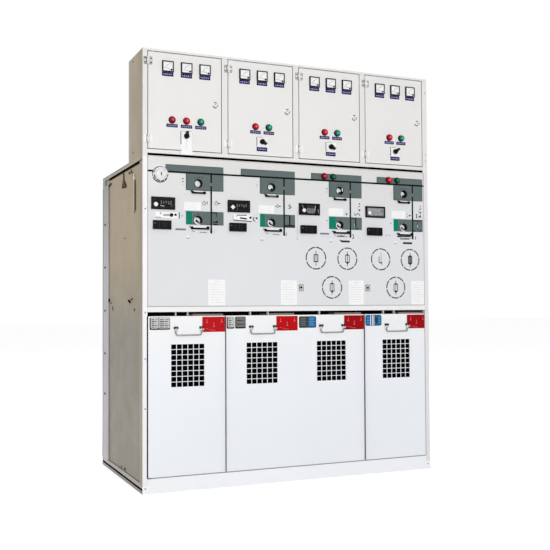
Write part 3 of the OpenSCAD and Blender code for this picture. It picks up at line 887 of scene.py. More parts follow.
def add_hinges():
    """Hinge leaves on the frame and on each door, either side of the hinge line."""
    fixed = Piece("hinge_leaves", "cabinet", "housing_white")
    for k in BAYS:
        line_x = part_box(f"lv_door_{k + 1}")[0].x + HINGE_R * MM
        top = door_origin(k)[1]
        door = Piece(f"hinge_leaves_{k + 1}", f"door_{k + 1}", "housing_white")
        for piece, side in ((fixed, -1), (door, 1)):
            drawing = Drawing(piece, line_x, top, FRONT)
            for drop in HINGE_DROPS:
                hinge_leaf(drawing, side * (HINGE_LEAF_X + HINGE_LEAF_W / 2), drop,
                           "ink" if k == 0 else "plate_mark")
        door.done()
    fixed.done()


# ---- operating fascia ----

BUS_DROP, BUS_W = 59, 7
LINE_X, LINE_W = [264.5, 267, 261, 255.5], 6.4
PLATE_T = 1.5
GREEN_END = [182.5, 180, 188, 181]
LABEL_X = [148.5, 150, 155, 145.5]
UPPER_SHAFT, LOWER_SHAFT = (209, 101), (208, 252)
SHAFT_R, COLLAR_R = 12.5, 18


def add_mimic_lines():
    """The bus along the fascia and each bay's feeder line down to its cable, with the switch gap."""
    piece = Piece("mimic_lines", "cabinet", "slate")
    bus = FASCIA_HIGH.z - BUS_DROP * MM
    half = BUS_W / 2 * MM
    piece.slab(rounded(FASCIA_LOW.x + 1 * MM, FASCIA_HIGH.x - 1 * MM, bus - half, bus + half), FRONT,
               1.9 * MM, "ink")
    for k in BAYS:
        drawing = on_fascia(piece, k)
        x, half = LINE_X[k], LINE_W / 2
        drawing.plate(x - half, x + half, BUS_DROP, 96, 1.9, "ink", 0.0, 0.1)
        drawing.plate(x - half, x + half, 109, 303, 1.9, "ink", 0.0, 0.1)
        drawing.plate(x - 4, x + 4, 99, 107, 1.95, "grey_ink", 3, 0.1)
        drawing.plate(x - half - 0.8, x + half + 0.4, 285, 305, 2.1, "ink", 2.5, 0.1)
    piece.done()


def add_plate_edge_shades():
    """The turned edge along the left and the foot of each mimic plate, dark with painted shade."""
    piece = Piece("plate_edge_shades", "cabinet", "slate")
    for k in BAYS:
        drawing = on_fascia(piece, k, FRONT - PLATE_T * MM)
        drawing.line(71.5, 30, 71.5, 55, 2.2, "dark_slate")
        drawing.line(73, 29.8, 300, 29.8, 1.2, "dark_slate")
        drawing.line(157.2, 63, 157.2, 129, 2.2, "dark_slate")
        drawing.line(158, 129, 300, 129, 2.4, "dark_slate")
        drawing.line(165, 68, 165, 124, 0.9, "dark_slate")
        drawing.line(187, 268.5, 300, 268.5, 2.2, "dark_slate")
        drawing.box(156.2, GREEN_END[k], 215.2, 269.8, "green")
        drawing.box(GREEN_END[k] + 0.6, GREEN_END[k] + 2.6, 215.2, 262, "grey_ink")
    piece.done()


def earth_symbols(drawing, k):
    """Earth switch sign on the lower plate, right of the feeder line."""
    if k == 0:
        drawing.line(268, 219, 291, 219, 4.4, "ink")
        drawing.line(287, 219, 287, 237, 4, "dark_slate")
        drawing.line(272, 257.6, 293, 257.6, 4, "ink")
        drawing.shape("ink", (281, 256), (292, 249.5), (293, 256))
        drawing.line(273, 266, 293, 266, 4, "ink")
    elif k == 1:
        drawing.line(269, 219, 297, 219, 2.6, "ink")
        drawing.box(269, 317, 258, 269, "dim")
        drawing.line(293, 219, 293, 259, 6, "ink")
        drawing.line(284, 259, 302, 259, 3, "ink")
    elif k == 2:
        drawing.line(268, 220, 293, 220, 3, "ink")
        drawing.line(286, 220, 288.5, 257, 5.5, "ink")
        drawing.line(281, 245, 279.5, 256, 2, "pale_ink")
        drawing.line(283, 264, 303, 264, 4, "dark_slate")
        drawing.dot(295, 266, 3.2, "ink")
    else:
        drawing.line(259, 219, 305, 219, 4.4, "ink")
        drawing.line(282, 219, 282, 262, 3.4, "dark_slate")
        drawing.line(281.7, 238, 281.7, 252, 3, "pale_ink")
        drawing.line(260, 266, 271, 266, 4.4, "ink")
        drawing.line(287, 266, 301, 263, 4.4, "dark_slate")


def plug_symbols(drawing, k):
    """Signs beside the feeder line between the plates: voltage taps, cable ends and fuse links."""
    if k == 0:
        for x, drop in ((234.3, 181.5), (286.7, 180)):
            drawing.arc(x, drop, 6.4, 2.1, 0, 360, "ink")
            drawing.line(x, drop - 11, x, drop - 7.6, 2.4, "ink")
        drawing.line(247.8, 173, 247.8, 185, 2.4, "ink")
        drawing.line(243.5, 175.5, 247.5, 175.5, 2, "dim")
        drawing.line(293, 179, 303.5, 179, 3.8, "ink")
    elif k == 1:
        for side_x, side_z in ((-1, -1), (1, -1), (1, 1), (-1, 1)):
            drawing.line(237 + side_x * 6, 180.5, 237, 180.5 + side_z * 6, 2, "ink")
        drawing.line(237, 170, 237, 174, 2, "ink")
        drawing.line(228, 178, 228, 183, 2, "dim")
        drawing.line(243, 180, 252, 180, 3.8, "ink")
        drawing.arc(293, 176, 3.4, 3.2, 20, 250, "ink")
        drawing.arc(293, 184.5, 3.6, 3.4, -160, 100, "ink")
        drawing.line(296, 180.5, 303, 180.5, 3.4, "ink")
        drawing.line(294, 169, 294, 173, 1.8, "dim")
    elif k == 2:
        drawing.dot(307.6, 154, 3.3, "ink")
        drawing.dot(307.5, 165.3, 2.9, "ink")
        drawing.dot(307.4, 182, 4.8, "ink", 8)
        drawing.arc(308, 172, 9, 1.4, 130, 235, "dim")
        drawing.line(280.5, 195, 283, 201, 2.6, "ink")
        drawing.line(282, 207, 303, 195, 3, "ink")
        drawing.shape("ink", (306, 197), (312, 206), (304, 205))
        drawing.line(237, 195, 241, 203, 2, "ink")
        drawing.line(247.5, 194.5, 243.5, 203, 2, "ink")
        drawing.dot(242.3, 203.5, 3.3, "ink")
    else:
        drawing.dot(298.6, 153.2, 3, "ink")
        drawing.arc(297.8, 165, 3.4, 2, 0, 360, "ink")
        drawing.dot(297.6, 181.5, 4.3, "ink", 12)
        drawing.arc(300, 173, 10, 1.3, 120, 240, "dim")
        drawing.line(277.6, 188, 277.6, 206, 4.2, "ink")
        drawing.line(273.5, 189, 282, 189, 2, "ink")
        drawing.line(273.5, 205.5, 283, 205.5, 2, "ink")
        drawing.line(290, 206, 300, 190, 2.6, "ink")
        drawing.line(287, 198, 302, 198, 3, "ink")
        drawing.line(299, 198, 299, 207, 2.6, "ink")
        drawing.dot(228, 191, 2.1, "dim")
        drawing.dot(229, 203, 2.3, "ink")
        drawing.dot(240, 197, 4, "ink", 8)
        drawing.line(245, 197, 251, 194, 2, "ink")


def cable_symbol(drawing, k):
    """Cable end sign right of the foot of the feeder line."""
    x = LINE_X[k]
    if k == 0:
        drawing.line(x + 13.5, 288, x + 13.5, 303, 3, "pale_ink")
    elif k == 1:
        drawing.arc(x + 7.5, 299, 4.6, 2, 180, 360, "ink")
        drawing.line(x + 12, 290, x + 12, 299, 1.8, "ink")
    elif k == 2:
        drawing.arc(x + 12.5, 294.5, 3.4, 2.4, -90, 170, "ink")
        drawing.arc(x + 13, 304.5, 3.4, 3.4, -160, 90, "ink")
    else:
        drawing.arc(x + 6, 298, 10.5, 3.2, -42, 42, "ink")


def side_marks(drawing, k):
    """Small scale marks left of the plates."""
    if k == 0:
        for drop, mat in ((84.6, "ink"), (96.6, "ink"), (109, "pale_ink")):
            drawing.box(140.5, 147, drop - 2, drop + 2, mat, 1)
    elif k == 1:
        drawing.line(143, 80, 142, 106, 1.8, "pale_ink")
        drawing.line(140, 96, 147, 92, 1.6, "grey_ink")
    elif k == 2:
        drawing.dot(147, 93.6, 2.7, "ink")
        drawing.arc(151, 108, 5.4, 1.4, 110, 250, "grey_ink")
        drawing.dot(146.6, 233.6, 2.4, "ink")
        drawing.line(147.6, 240, 147.6, 252, 1.4, "pale_ink")
    else:
        for drop in (94, 106, 117.5):
            drawing.box(140.5, 147.5, drop - 1.8, drop + 1.8, "pale_ink", 1)
        drawing.dot(142.5, 234.7, 2.5, "ink")
        drawing.line(142.5, 242, 142.5, 252, 1.6, "pale_ink")


def lever_surround(drawing, k):
    """Pale strips behind the lever bars and the marks under the lower one."""
    drawing.box(188, 234, 131, 134.5, "white_label", 1.5)
    drawing.box(186, 246, 275.5, 283, "white_label", 2)
    drawing.line(181, 295, 195, 299, 2.4, "grey_ink")
    drawing.line(214, 300, 246, 302, 3, "grey_ink")
    if k == 2:
        drawing.line(216.3, 288, 216.3, 299, 2, "dim")
        drawing.line(196, 300, 230, 299.4, 5, "ink")
        drawing.arc(236, 291, 5, 1.8, 40, 230, "grey_ink")
        drawing.line(209.5, 317.5, 220, 321.5, 6, "ink")
        drawing.box(214, 258, 318, 326.5, "dim", 4)
        drawing.box(120, 160, 303.5, 305.5, "pale_ink", 0.8)
    if k == 3:
        drawing.line(174, 293, 245, 292, 5, "ink")
        drawing.box(190, 239, 300, 307, "grey_ink", 1.5)
        drawing.box(204.5, 252, 318, 327, "dim", 1.5)
        drawing.dot(119.3, 290, 2.6, "grey_ink")
        drawing.dot(133, 290, 2.2, "grey_ink")
        drawing.line(138, 290, 146, 290, 1.6, "pale_ink")


def add_fascia_prints():
    for k in BAYS:
        piece = Piece(f"fascia_prints_{k + 1}", "cabinet", "fascia_grey")
        drawing = on_fascia(piece, k)
        side_marks(drawing, k)
        plug_symbols(drawing, k)
        cable_symbol(drawing, k)
        lever_surround(drawing, k)
        drawing.box(158, 172, 325, 327.5, "grey_ink", 1)
        drawing.box(161, 169, 314, 321, "white_label", 3)
        label = LABEL_X[k]
        drawing.plate(label, label + 71, 178.5, 211.5, 0.8, "white_label", 1)
        rows = drawing.raised(0.8)
        for drop in (184, 191, 198, 205):
            rows.box(label + 3, label + 61 - 9 * (drop % 2), drop, drop + 1.6, "cream")
        if k in (0, 2):
            drawing.plate(112, 156, 287.5, 294.5, 0.8, "grey_ink", 1)
        earth_symbols(on_fascia(piece, k, FRONT - PLATE_T * MM), k)
        piece.done()


def add_lever_ends():
    """Knobs and the tapered left end of each lever bar, and the grip line of the second bay's."""
    piece = Piece("lever_ends", "cabinet", "black_plastic")
    for k in BAYS:
        drawing = on_fascia(piece, k)
        (a, b, c) = (drawing.at(174, 132.5), drawing.at(181, 131.5), drawing.at(192, 137))
        (d, e) = (drawing.at(192, 142), drawing.at(184, 140))
        piece.slab([e, d, c, b, a], FRONT, 9.6 * MM, "black", 0.6 * MM)
        drawing.turned(235, 139, knob(5.6, 10.5), "black")
        drawing.turned(181, 282.5, knob(4.8, 10.5), "black")
        drawing.turned(173.5, 279, knob(2.6, 4), "black", 20)
        drawing.turned(249, 282.5, knob(6.6, 11), "black")
        if k == 1:
            drawing.raised(9.05).line(197, 141, 228, 141, 2.4, "grey_ink")
    piece.done()


def add_sliders():
    """White interlock plates of the first two bays, with their pointers and stops."""
    piece = Piece("slider_plates", "cabinet", "fascia_grey")
    first = on_fascia(piece, 0)
    first.plate(24, 121, 223, 247, 1.0, "white_label", 2)
    marks = first.raised(1.0)
    marks.line(27, 226, 27, 240, 1.4, "grey_ink")
    marks.line(27, 244.5, 52, 245.5, 2.6, "grey_ink")
    marks.dot(50, 229, 2.7, "ink")
    marks.line(61, 235.4, 92, 234.6, 4.6, "grey_ink")
    marks.line(62, 234.6, 92, 233.8, 2, "dim")
    marks.turned(95, 234.2, knob(7.6, 4), "black")
    marks.turned(112.2, 232.8, knob(4.8, 3), "black")
    first.line(128.6, 222, 128.6, 248, 3.4, "dim")
    first.line(141.5, 231, 138.5, 240, 3.2, "grey_ink")
    second = on_fascia(piece, 1)
    second.plate(33, 118, 221, 250, 1.0, "white_label", 2)
    marks = second.raised(1.0)
    marks.line(35, 224, 35, 246, 2, "grey_ink")
    marks.line(52, 225, 96, 223.5, 3.4, "dim")
    marks.line(52, 225, 50, 231, 2, "grey_ink")
    marks.line(66, 235.5, 97, 239, 6, "ink")
    marks.line(35, 246, 118, 249, 3.6, "ink")
    marks.turned(112.5, 233.5, knob(5, 3), "black")
    second.frame(124, 147, 222.5, 256, 0.9, "pale_ink", 1)
    second.arc(133, 239, 7.5, 3.6, 100, 290, "ink")
    second.dot(141, 234.5, 4.4, "ink", 10)
    piece.done()


def add_indicator_face(k):
    """Fault indicator: a black frame round a window with a white reset button and dim segments."""
    low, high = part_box("indicator_units")
    piece = Piece(f"indicator_face_{k + 1}", "cabinet", "black_plastic")
    drawing = on_fascia(piece, k, low.y)
    drawing.frame(11, 109, 163.2, 212.8, 5, "black", 2.5)
    if k == 3:
        drawing.box(18, 102, 170, 206, "grey_ink", 2)
        for row in range(4):
            drawing.line(22, 174 + row * 3.6, 92 - row * 3, 174.4 + row * 3.6, 1.3, "pale_ink")
        for col in range(6):
            drawing.box(38 + col * 10, 44 + col * 10, 190, 202 - 3 * (col % 2), "pale_ink", 1)
            drawing.box(39.5 + col * 10, 42 + col * 10, 192, 198, "dim", 0.5)
        drawing.line(22, 205, 36, 197, 3, "dim")
        drawing.turned(30, 193, [(8, 0), (7, 2), (4, 3.2), (0, 3.4)], "white_label")
    elif k == 2:
        drawing.line(24, 170, 33, 187, 4, "grey_ink")
        drawing.box(46, 84, 172, 183, "dim", 1)
        drawing.box(45, 87, 184.5, 199, "grey_ink", 2)
        drawing.box(49, 83, 197, 205, "grey_ink", 2)
        for col in range(3):
            drawing.arc(54 + col * 12, 192, 3.4, 1.5, 0, 360, "dim")
        drawing.line(87, 172, 84, 194, 2.4, "pale_ink")
        drawing.line(99, 187, 103, 204, 4.4, "grey_ink")
        drawing.turned(33.7, 193.4, [(8.4, 0), (7.4, 2), (4, 3.2), (0, 3.4)], "white_label")
    else:
        drawing.box(17, 103, 169, 207, "dim", 2)
        drawing.box(18.2, 101.8, 170.2, 205.8, "black", 2)
        for col in range(5):
            x = 49 + col * 10
            drawing.box(x, x + 4.4, 178 + 2 * (col % 2), 192 - 2 * (col % 3), "grey_ink", 0.8)
            drawing.box(x + 1.4, x + 3, 181, 186, "black", 0.5)
        drawing.dot(24, 175, 2.4, "dim")
        if k == 0:
            drawing.line(47, 198, 63, 200.5, 3, "pale_ink")
            drawing.line(57, 202, 66, 197, 1.8, "grey_ink")
            drawing.arc(89, 197, 6, 1.6, -60, 150, "grey_ink")
            drawing.turned(29, 193.5, [(9, 0), (8, 2), (4, 3.2), (0, 3.4)], "white_label")
        else:
            drawing.line(52, 198, 54, 204, 2, "grey_ink")
            drawing.turned(32.5, 192.2, [(10.5, 0), (8, 2), (4, 3), (0, 3.2)], "white_label", 4)
    piece.done()


def add_voltage_box_ribs(k):
    """Seven dark cells with dim test sockets between thin ribs."""
    low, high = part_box("voltage_boxes")
    piece = Piece(f"voltage_ribs_{k + 1}", "cabinet", "black_plastic")
    drawing = on_fascia(piece, k, low.y)
    drawing.plate(18, 92, 257.8, 262, 1.2, "black", 1.5)
    drawing.plate(18, 92, 288, 293, 1.2, "black", 1.5)
    for i in range(8):
        x = 22 + i * 9.2
        drawing.plate(x, x + 2, 264, 286, 0.9, "dim" if i in (2, 4, 5) else "black", 0.4)
    for i in range(7):
        drawing.dot(28 + i * 9.2, 268, 1.5, "dim", 12)
    drawing.box(20, 27, 268, 271, "grey_ink", 0.8)
    piece.done()


def add_gauge_face():
    """Gas pressure gauge: white rim and dial, a faint scale and a short upright needle, with painted shadow
    round the gauge on the fascia and painted shade dashed round the lower rim.
    """
    low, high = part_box("pressure_gauge")
    r = (high.x - low.x) / 2 / MM
    piece = Piece("gauge_face", "cabinet", "fascia_grey")
    centre = ((low.x + high.x) / 2, (low.z + high.z) / 2)
    # Painted shadow round the gauge, on the fascia.
    shadow = Drawing(piece, *centre, FRONT)
    shadow.arc(0, 0, r + 1.7, 3.8, 205, 395, "ink")
    shadow.arc(0, 0, r + 0.8, 2, 100, 200, "dim")
    rim = Drawing(piece, *centre, low.y)
    rim.arc(0, 0, r - 1.4, 2.2, 75, 178, "dim")
    rim.arc(0, 0, r - 1.2, 1.6, 0, 70, "grey_ink")
    # Painted shade, dashed round the lower half of the rim.
    for start, end in ((190, 224), (232, 262), (270, 296), (303, 328), (334, 356)):
        rim.arc(0, 0, r - 1.9, 3.4, start, end, "ink")
    dial = Drawing(piece, *centre, low.y + 2 * MM)
    dial.turned(0, 0, [(r - 3, 0), (r - 3, 0.4), (0, 0.4)], "white_label", 48)
    face = dial.raised(0.4)
    face.arc(0, 0, 20, 1.6, 100, 200, "pale_ink")
    face.arc(0, 0, 20, 1.6, 30, 70, "pale_ink")
    for i in range(11):
        a = math.radians(215 - 25 * i)
        face.line(18 * math.cos(a), -18 * math.sin(a), 21 * math.cos(a), -21 * math.sin(a), 0.8, "grey_ink")
    face.line(-3.5, -8, -3.5, 4, 1.4, "pale_ink")
    needle = face.raised(0.6)
    needle.shape("ink", (0.6, 6.5), (3.6, 7), (5, -2), (3, -10.5), (0.8, -5))
    face.turned(2.2, 1, knob(2.4, 1.5), "black", 20)
    face.raised(1.6).turned(0, 0, [(r - 2.8, 0), (r * 0.5, 0.25), (0, 0.3)], "clear", 48)
    piece.done()


# Where the printed rings of the fuse chambers are, and where each is left open
FUSE_RINGS = ((89, 398), (242, 398), (166, 524))
FUSE_RING_R = 47
FUSE_SHIFT = {2: 3, 3: -1}


def dashed_ring(drawing, x, drop, first):
    for i in range(7):
        start = first + i * 360 / 7
        drawing.arc(x, drop, FUSE_RING_R, 4.8, start + 3, start + 48, "ink")


def fuse_symbol(drawing, x, drop, kind):
    """A fuse link sign: open box, filled box or a bent striker."""
    body = "ink" if kind == "open" else "dim"
    if kind == "bent":
        drawing.line(x + 2, drop - 30, x + 2, drop + 18, 2.4, "grey_ink")
        drawing.line(x - 8, drop - 12, x - 9, drop + 12, 4, "grey_ink")
        drawing.line(x - 9, drop + 14, x + 8, drop + 16, 5, "dim")
        drawing.line(x + 2, drop + 18, x + 8, drop + 24, 3, "grey_ink")
        return
    if kind == "filled":
        drawing.box(x - 11, x + 11, drop - 18, drop + 20, "grey_ink", 4)
    drawing.frame(x - 11, x + 11, drop - 17, drop + 17, 4 if kind == "open" else 3.4, body)
    drawing.line(x, drop - 31, x, drop + 33, 3, "dim")
    if kind != "open":
        drawing.shape("ink", (x - 7, drop - 16), (x, drop - 23), (x + 7, drop - 16))
        drawing.shape("ink", (x - 7, drop + 17), (x + 7, drop + 17), (x, drop + 25))


def add_fuse_marks():
    kinds = {2: ("open", "striker", "striker"), 3: ("bent", "filled", "striker")}
    for k in FUSE_BAYS:
        piece = Piece(f"fuse_marks_{k + 1}", "cabinet", "fascia_grey")
        drawing = on_fascia(piece, k)
        for i, (x, drop) in enumerate(FUSE_RINGS):
            dashed_ring(drawing, x + FUSE_SHIFT[k], drop, 75 + 17 * i + 9 * k)
            fuse_symbol(drawing, x + FUSE_SHIFT[k], drop, kinds[k][i])
        lock = on_fascia(piece, k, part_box("key_locks")[0].y)
        lock.turned(16.8, 525, knob(5, 1.2), "black")
        box = on_fascia(piece, k, FRONT - 6 * MM)
        box.frame(9, 29, 512, 540, 1.8, "dim", 1)
        drawing.line(19, 504, 19, 509, 2, "pale_ink")
        piece.done()


def add_instruction_labels():
    piece = Piece("instruction_labels", "cabinet", "fascia_grey")
    for k in BAYS:
        x0, x1 = (246, 314) if k == 3 else (251, 325)
        drawing = on_fascia(piece, k)
        drawing.plate(x0, x1, 493.5, 600, 0.8, "white_label", 1.5)
        rows = drawing.raised(0.8)
        for i in range(9):
            drop = 502 + i * 10.6
            start = x0 + (24 if i == 0 else 6 + 4 * (i % 3 == 2))
            end = x1 - (22 if i == 0 else 6 + 5 * ((i * 5 + k) % 4))
            rows.box(start, end, drop, drop + 1, "pale_ink")
    piece.done()


def add_fascia_lamps():
    piece = Piece("fascia_lamp_lenses", "cabinet", "lamp_lens")
    for k, red_x, green_x, red in ((2, 133, 176, "dark_red"), (3, 131, 174, "red")):
        drawing = on_fascia(piece, k, PLATE_FRONT)
        pilot_lamp(drawing, red_x, 41, 15, red)
        pilot_lamp(drawing, green_x, 41, 14, "dark_green")
    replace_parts(piece.done(), "fascia_lamps")


def add_shaft_faces():
    """Key slots on the shaft ends, painted highlights on the lips of the lower collars and on one upper
    collar's wall, and the position marks.
    """
    piece = Piece("shaft_faces", "cabinet", "bright_metal")
    shaft_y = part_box("operating_shafts")[0].y
    lip_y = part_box("shaft_collars")[0].y
    for k in BAYS:
        x, drop = UPPER_SHAFT
        end = on_fascia(piece, k, shaft_y)
        end.turned(x, drop, [(SHAFT_R - 1, 0), (SHAFT_R - 1.5, 0.5), (0, 0.5)], "shaft", 36)
        if k in (1, 2, 3):
            end.raised(0.5).shape("black", (x - 3, drop + 12), (x + 2, drop + 3), (x + 12, drop + 1),
                                  (x + 8, drop + 10))
        marks = on_fascia(piece, k, FRONT - PLATE_T * MM)
        marks.dot(x - 15, drop - 22, 2.4, "dark_slate")
        for mark_x in (-5, 6, 17):
            marks.box(x + mark_x - 3, x + mark_x + 3, drop - 27, drop - 24, "dark_slate", 0.6)
        if k == 2:
            # A painted highlight on the inner wall of the third bay's upper collar.
            wall = on_fascia(piece, k, lip_y)
            wall.shape("white_label", (x + 9, drop - 13), (x + 13, drop - 10), (x + 15, drop + 2),
                       (x + 11, drop + 1))
        x, drop = LOWER_SHAFT
        end = on_fascia(piece, k, shaft_y)
        end.turned(x, drop, [(SHAFT_R - 1, 0), (SHAFT_R - 1.5, 0.5), (0, 0.5)], "shaft", 36)
        face = end.raised(0.5)
        face.arc(x + 3, drop - 2, 8, 5.4, 185, 310, "black")
        face.line(x - 5, drop - 4, x + 4, drop + 5, 4.6, "black")
        # A painted highlight on the lip of each lower collar.
        lip = on_fascia(piece, k, lip_y)
        lip.arc(x, drop, COLLAR_R - 1.4, 2.8, 135, 300, "white_label")
        marks.dot(x - 15, drop - 20, 2.2, "dark_slate")
        marks.box(x - 3, x + 6, drop - 25, drop - 22.5, "dark_slate", 0.6)
    piece.done()


# ---- painted shadow in joints and slots, slot tabs and screws ----

SLOT_TABS = (137, 188, 461, 541, 783, 1101, 1156)
SLOT_BROWN = (190, 322)
POST_SCREWS = (22, 336, 534, 718, 1132)
BASE_SCREW_TOP = 60
BACK_SCREW_IN = 12 * MM
DUCT_SCREWS = (335, 523, 721, 924, 1124)
DUCT_SCREW_Y = 681


def add_joint_shadows():
    """Painted shadow in the slots over the covers and under the instrument box, and painted shade round the
    fascia and down one seam.
    """
    piece = Piece("joint_shadows", "cabinet", "housing_white")
    x0, x1 = FASCIA_LOW.x + 1 * MM, FASCIA_HIGH.x - 1 * MM
    slot_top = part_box("front_rail")[0].z + 19.5 * MM
    piece.slab(rounded(x0, x1, COVER_TOP - 1 * MM, slot_top), FRONT + 21.5 * MM, 1.5 * MM, "shadow")
    for k in BAYS:
        drawing = Drawing(piece, bay_x(k), COVER_TOP, FRONT + 19.9 * MM)
        # The rail inside the slot, painted as it looks in shade, with painted shade left of it.
        drawing.box(SLOT_BROWN[0], min(SLOT_BROWN[1], (x1 - bay_x(k)) / MM), -8, 0, "slot_rail_shade")
        drawing.box(SLOT_BROWN[0] - 30, SLOT_BROWN[0], -8, 0, "dim")
    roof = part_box("roof_panel")[1].z
    piece.slab(rounded(x0, x1, roof + 0.6 * MM, roof + 9 * MM), FRONT + 12 * MM, 10.5 * MM, "shadow")
    # Painted grey shade along the joints at the fascia's ends and foot.
    for x in (FASCIA_LOW.x + 0.9 * MM, FASCIA_HIGH.x - 0.9 * MM):
        piece.slab(rounded(x - 0.9 * MM, x + 0.9 * MM, FASCIA_LOW.z, FASCIA_HIGH.z), FRONT, 0.12 * MM,
                   "gap_shade_grey")
    piece.slab(rounded(x0, x1, FASCIA_LOW.z - 0.6 * MM, FASCIA_LOW.z + 1.2 * MM), FRONT, 0.14 * MM,
               "gap_shade_grey")
    seam = on_fascia(piece, 2)
    seam.line(3.6, 201, 3.6, 316, 1.0, "gap_shade_grey")
    seam.dot(3.4, 318, 2, "grey_ink")
    piece.done()


def add_slot_tabs():
    piece = Piece("slot_tabs", "cabinet", "housing_white")
    for x in SLOT_TABS:
        a = LEFT + x * MM
        piece.slab(rounded(a, a + 4.5 * MM, COVER_TOP + 1 * MM, COVER_TOP + 16.5 * MM), FRONT + 20 * MM,
                   14 * MM, "duct", 0.5 * MM)
    piece.done()


def add_cover_gap_shadows():
    """Painted black shadow in the gap left of the first cover with its foot, and painted grey shade in the
    gap right of the last.
    """
    piece = Piece("cover_gap_shadows", "cabinet", "housing_white")
    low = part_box("cable_cover_left")[0].z
    left_edge, right_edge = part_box("cable_cover_left")[0].x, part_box("cable_cover_right")[1].x
    left_post, right_post = LEFT + 20 * MM, RIGHT - 20 * MM
    piece.slab(rounded(left_post - 2.4 * MM, left_edge - 0.2 * MM, low, COVER_TOP), FRONT, 0.3 * MM,
               "shadow")
    piece.slab(rounded(right_edge + 0.2 * MM, right_post + 0.3 * MM, low, COVER_TOP), FRONT + 1 * MM,
               0.4 * MM, "gap_shade_grey")
    piece.done()


def add_cover_joint_shades():
    """Painted shade in the joints between neighbouring covers, on the left edge of the centre and right
    covers, and along the foot of all three.
    """
    for cover, mat in (("centre", "plate_mark"), ("right", "grey_ink")):
        low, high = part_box(f"cable_cover_{cover}")
        piece = Piece(f"cover_joint_shade_{cover}", f"cover_{cover}", "cover_white", "left", (low.x, 0, 0))
        piece.slab(rounded(-high.y + 1 * MM, -low.y - 5 * MM, low.z + 1 * MM, high.z - 1 * MM), 0, 0.25 * MM,
                   mat)
        piece.done()
    foot = Piece("cover_foot_shade", "cabinet", "housing_white")
    base_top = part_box("base_frame")[1].z
    foot.slab(rounded(LEFT + 22 * MM, RIGHT - 22 * MM, base_top - 4 * MM, base_top - 0.3 * MM), FRONT,
              0.2 * MM,
              "gap_shade_grey")
    foot.slab(rounded(LEFT + 19.5 * MM, LEFT + 36 * MM, base_top - 4 * MM, base_top - 0.3 * MM),
              FRONT - 0.2 * MM, 0.2 * MM, "dim")
    foot.done()


def add_post_screws():
    piece = Piece("post_screws", "cabinet", "housing_white")
    for x in (LEFT + 11 * MM, RIGHT - 11 * MM):
        for z in POST_SCREWS:
            piece.screw(x, z * MM, FRONT, 2.2 * MM, "zinc" if x < 0 or z < BASE_SCREW_TOP else "post")
    for z in (1715, 1430, 1401):
        piece.screw(RIGHT - 9 * MM, z * MM, FRONT, 1.8 * MM)
    piece.done()


def add_side_screws(face, x_plane, way):
    """Screws down the back duct and at the back of the instrument box, on one side."""
    piece = Piece(f"side_screws_{face}", "cabinet", "zinc_grey", face, (x_plane, 0, 0))
    for z in DUCT_SCREWS:
        piece.screw(way * (FRONT + DUCT_SCREW_Y * MM), z * MM, 0, 4.2 * MM, "ink")
    for z in (BOX_LOW.z + 33 * MM, BOX_HIGH.z - 18 * MM):
        piece.screw(way * (FRONT + 152 * MM), z, 0, 2.4 * MM, "dim")
    piece.done()


def add_back_screws(node, columns, rows):
    """Screws round the edge of a sheet on the back, out of sight in the photograph."""
    low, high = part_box(node)
    piece = Piece(f"back_screws_{node}", "cabinet", "zinc_grey", "back", (0, high.y, 0))
    left, right = low.x + BACK_SCREW_IN, high.x - BACK_SCREW_IN
    foot, head = low.z + BACK_SCREW_IN, high.z - BACK_SCREW_IN
    places = [(left + (right - left) * i / columns, z) for i in range(columns + 1) for z in (foot, head)]
    places += [(x, foot + (head - foot) * i / rows) for i in range(1, rows) for x in (left, right)]
    for x, z in places:
        piece.screw(x, z, 0, 2.6 * MM)
    piece.done()


def add_side_shadows(face, x_plane, way):
    """Painted shadow under the roof flange with painted shade below it, and painted shade along the sheet's
    foot and down its back edge.
    """
    piece = Piece(f"side_shadows_{face}", "cabinet", "panel_olive", face, (x_plane, 0, 0))
    near, far = sorted((way * (FRONT + 46 * MM), way * (FRONT + 621 * MM)))
    roof_low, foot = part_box("roof_panel")[0].z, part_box("side_panel_left")[0].z
    piece.slab(rounded(near, far, roof_low - 6 * MM, roof_low + 2.5 * MM), 0, 0.3 * MM, "shadow")
    piece.slab(rounded(near, far, roof_low - 11 * MM, roof_low - 6 * MM), 0, 0.2 * MM, "brown_shade_and_fitting")
    piece.slab(rounded(near, far, foot + 0.5 * MM, foot + 3.5 * MM), 0, 0.3 * MM, "brown_shade_and_fitting")
    back = way * (FRONT + 620 * MM)
    piece.slab(rounded(back - 2.2 * MM, back + 2.2 * MM, foot, roof_low), 0, 0.2 * MM, "brown_shade_and_fitting")
    piece.done()


def add_edge_shades(face, x_plane, way):
    """Painted shade along the roof's top edge, down the duct's back corner and under the roof by the front
    post, on the outermost plane.
    """
    piece = Piece(f"edge_shades_{face}", "cabinet", "housing_white", face, (x_plane, 0, 0))
    roof_low, roof_high = (corner.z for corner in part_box("roof_panel"))
    back = way * (FRONT + 734 * MM)
    near, far = sorted((way * (BOX_HIGH.y + 1 * MM), back))
    piece.slab(rounded(near, far, roof_high - 2.7 * MM, roof_high - 0.2 * MM), 0, 0.15 * MM, "brown_shade_and_fitting")
    near, far = sorted((back, back - way * 10 * MM))
    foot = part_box("rear_posts")[0].z + 1 * MM
    piece.slab(rounded(near, far, foot, roof_low - 32 * MM), 0, 0.15 * MM, "dim")
    near, far = sorted((way * (FRONT + 1 * MM), way * (FRONT + 45 * MM)))
    piece.slab(rounded(near, far, roof_low - 5 * MM, roof_low - 0.5 * MM), 0, 0.15 * MM, "brown_shade_and_fitting")
    piece.done()


# Heights of the groove along the foot of the base, as the CAD has them
GROOVE_LOW, GROOVE_HIGH, GROOVE_DEEP = 12, 22, 7


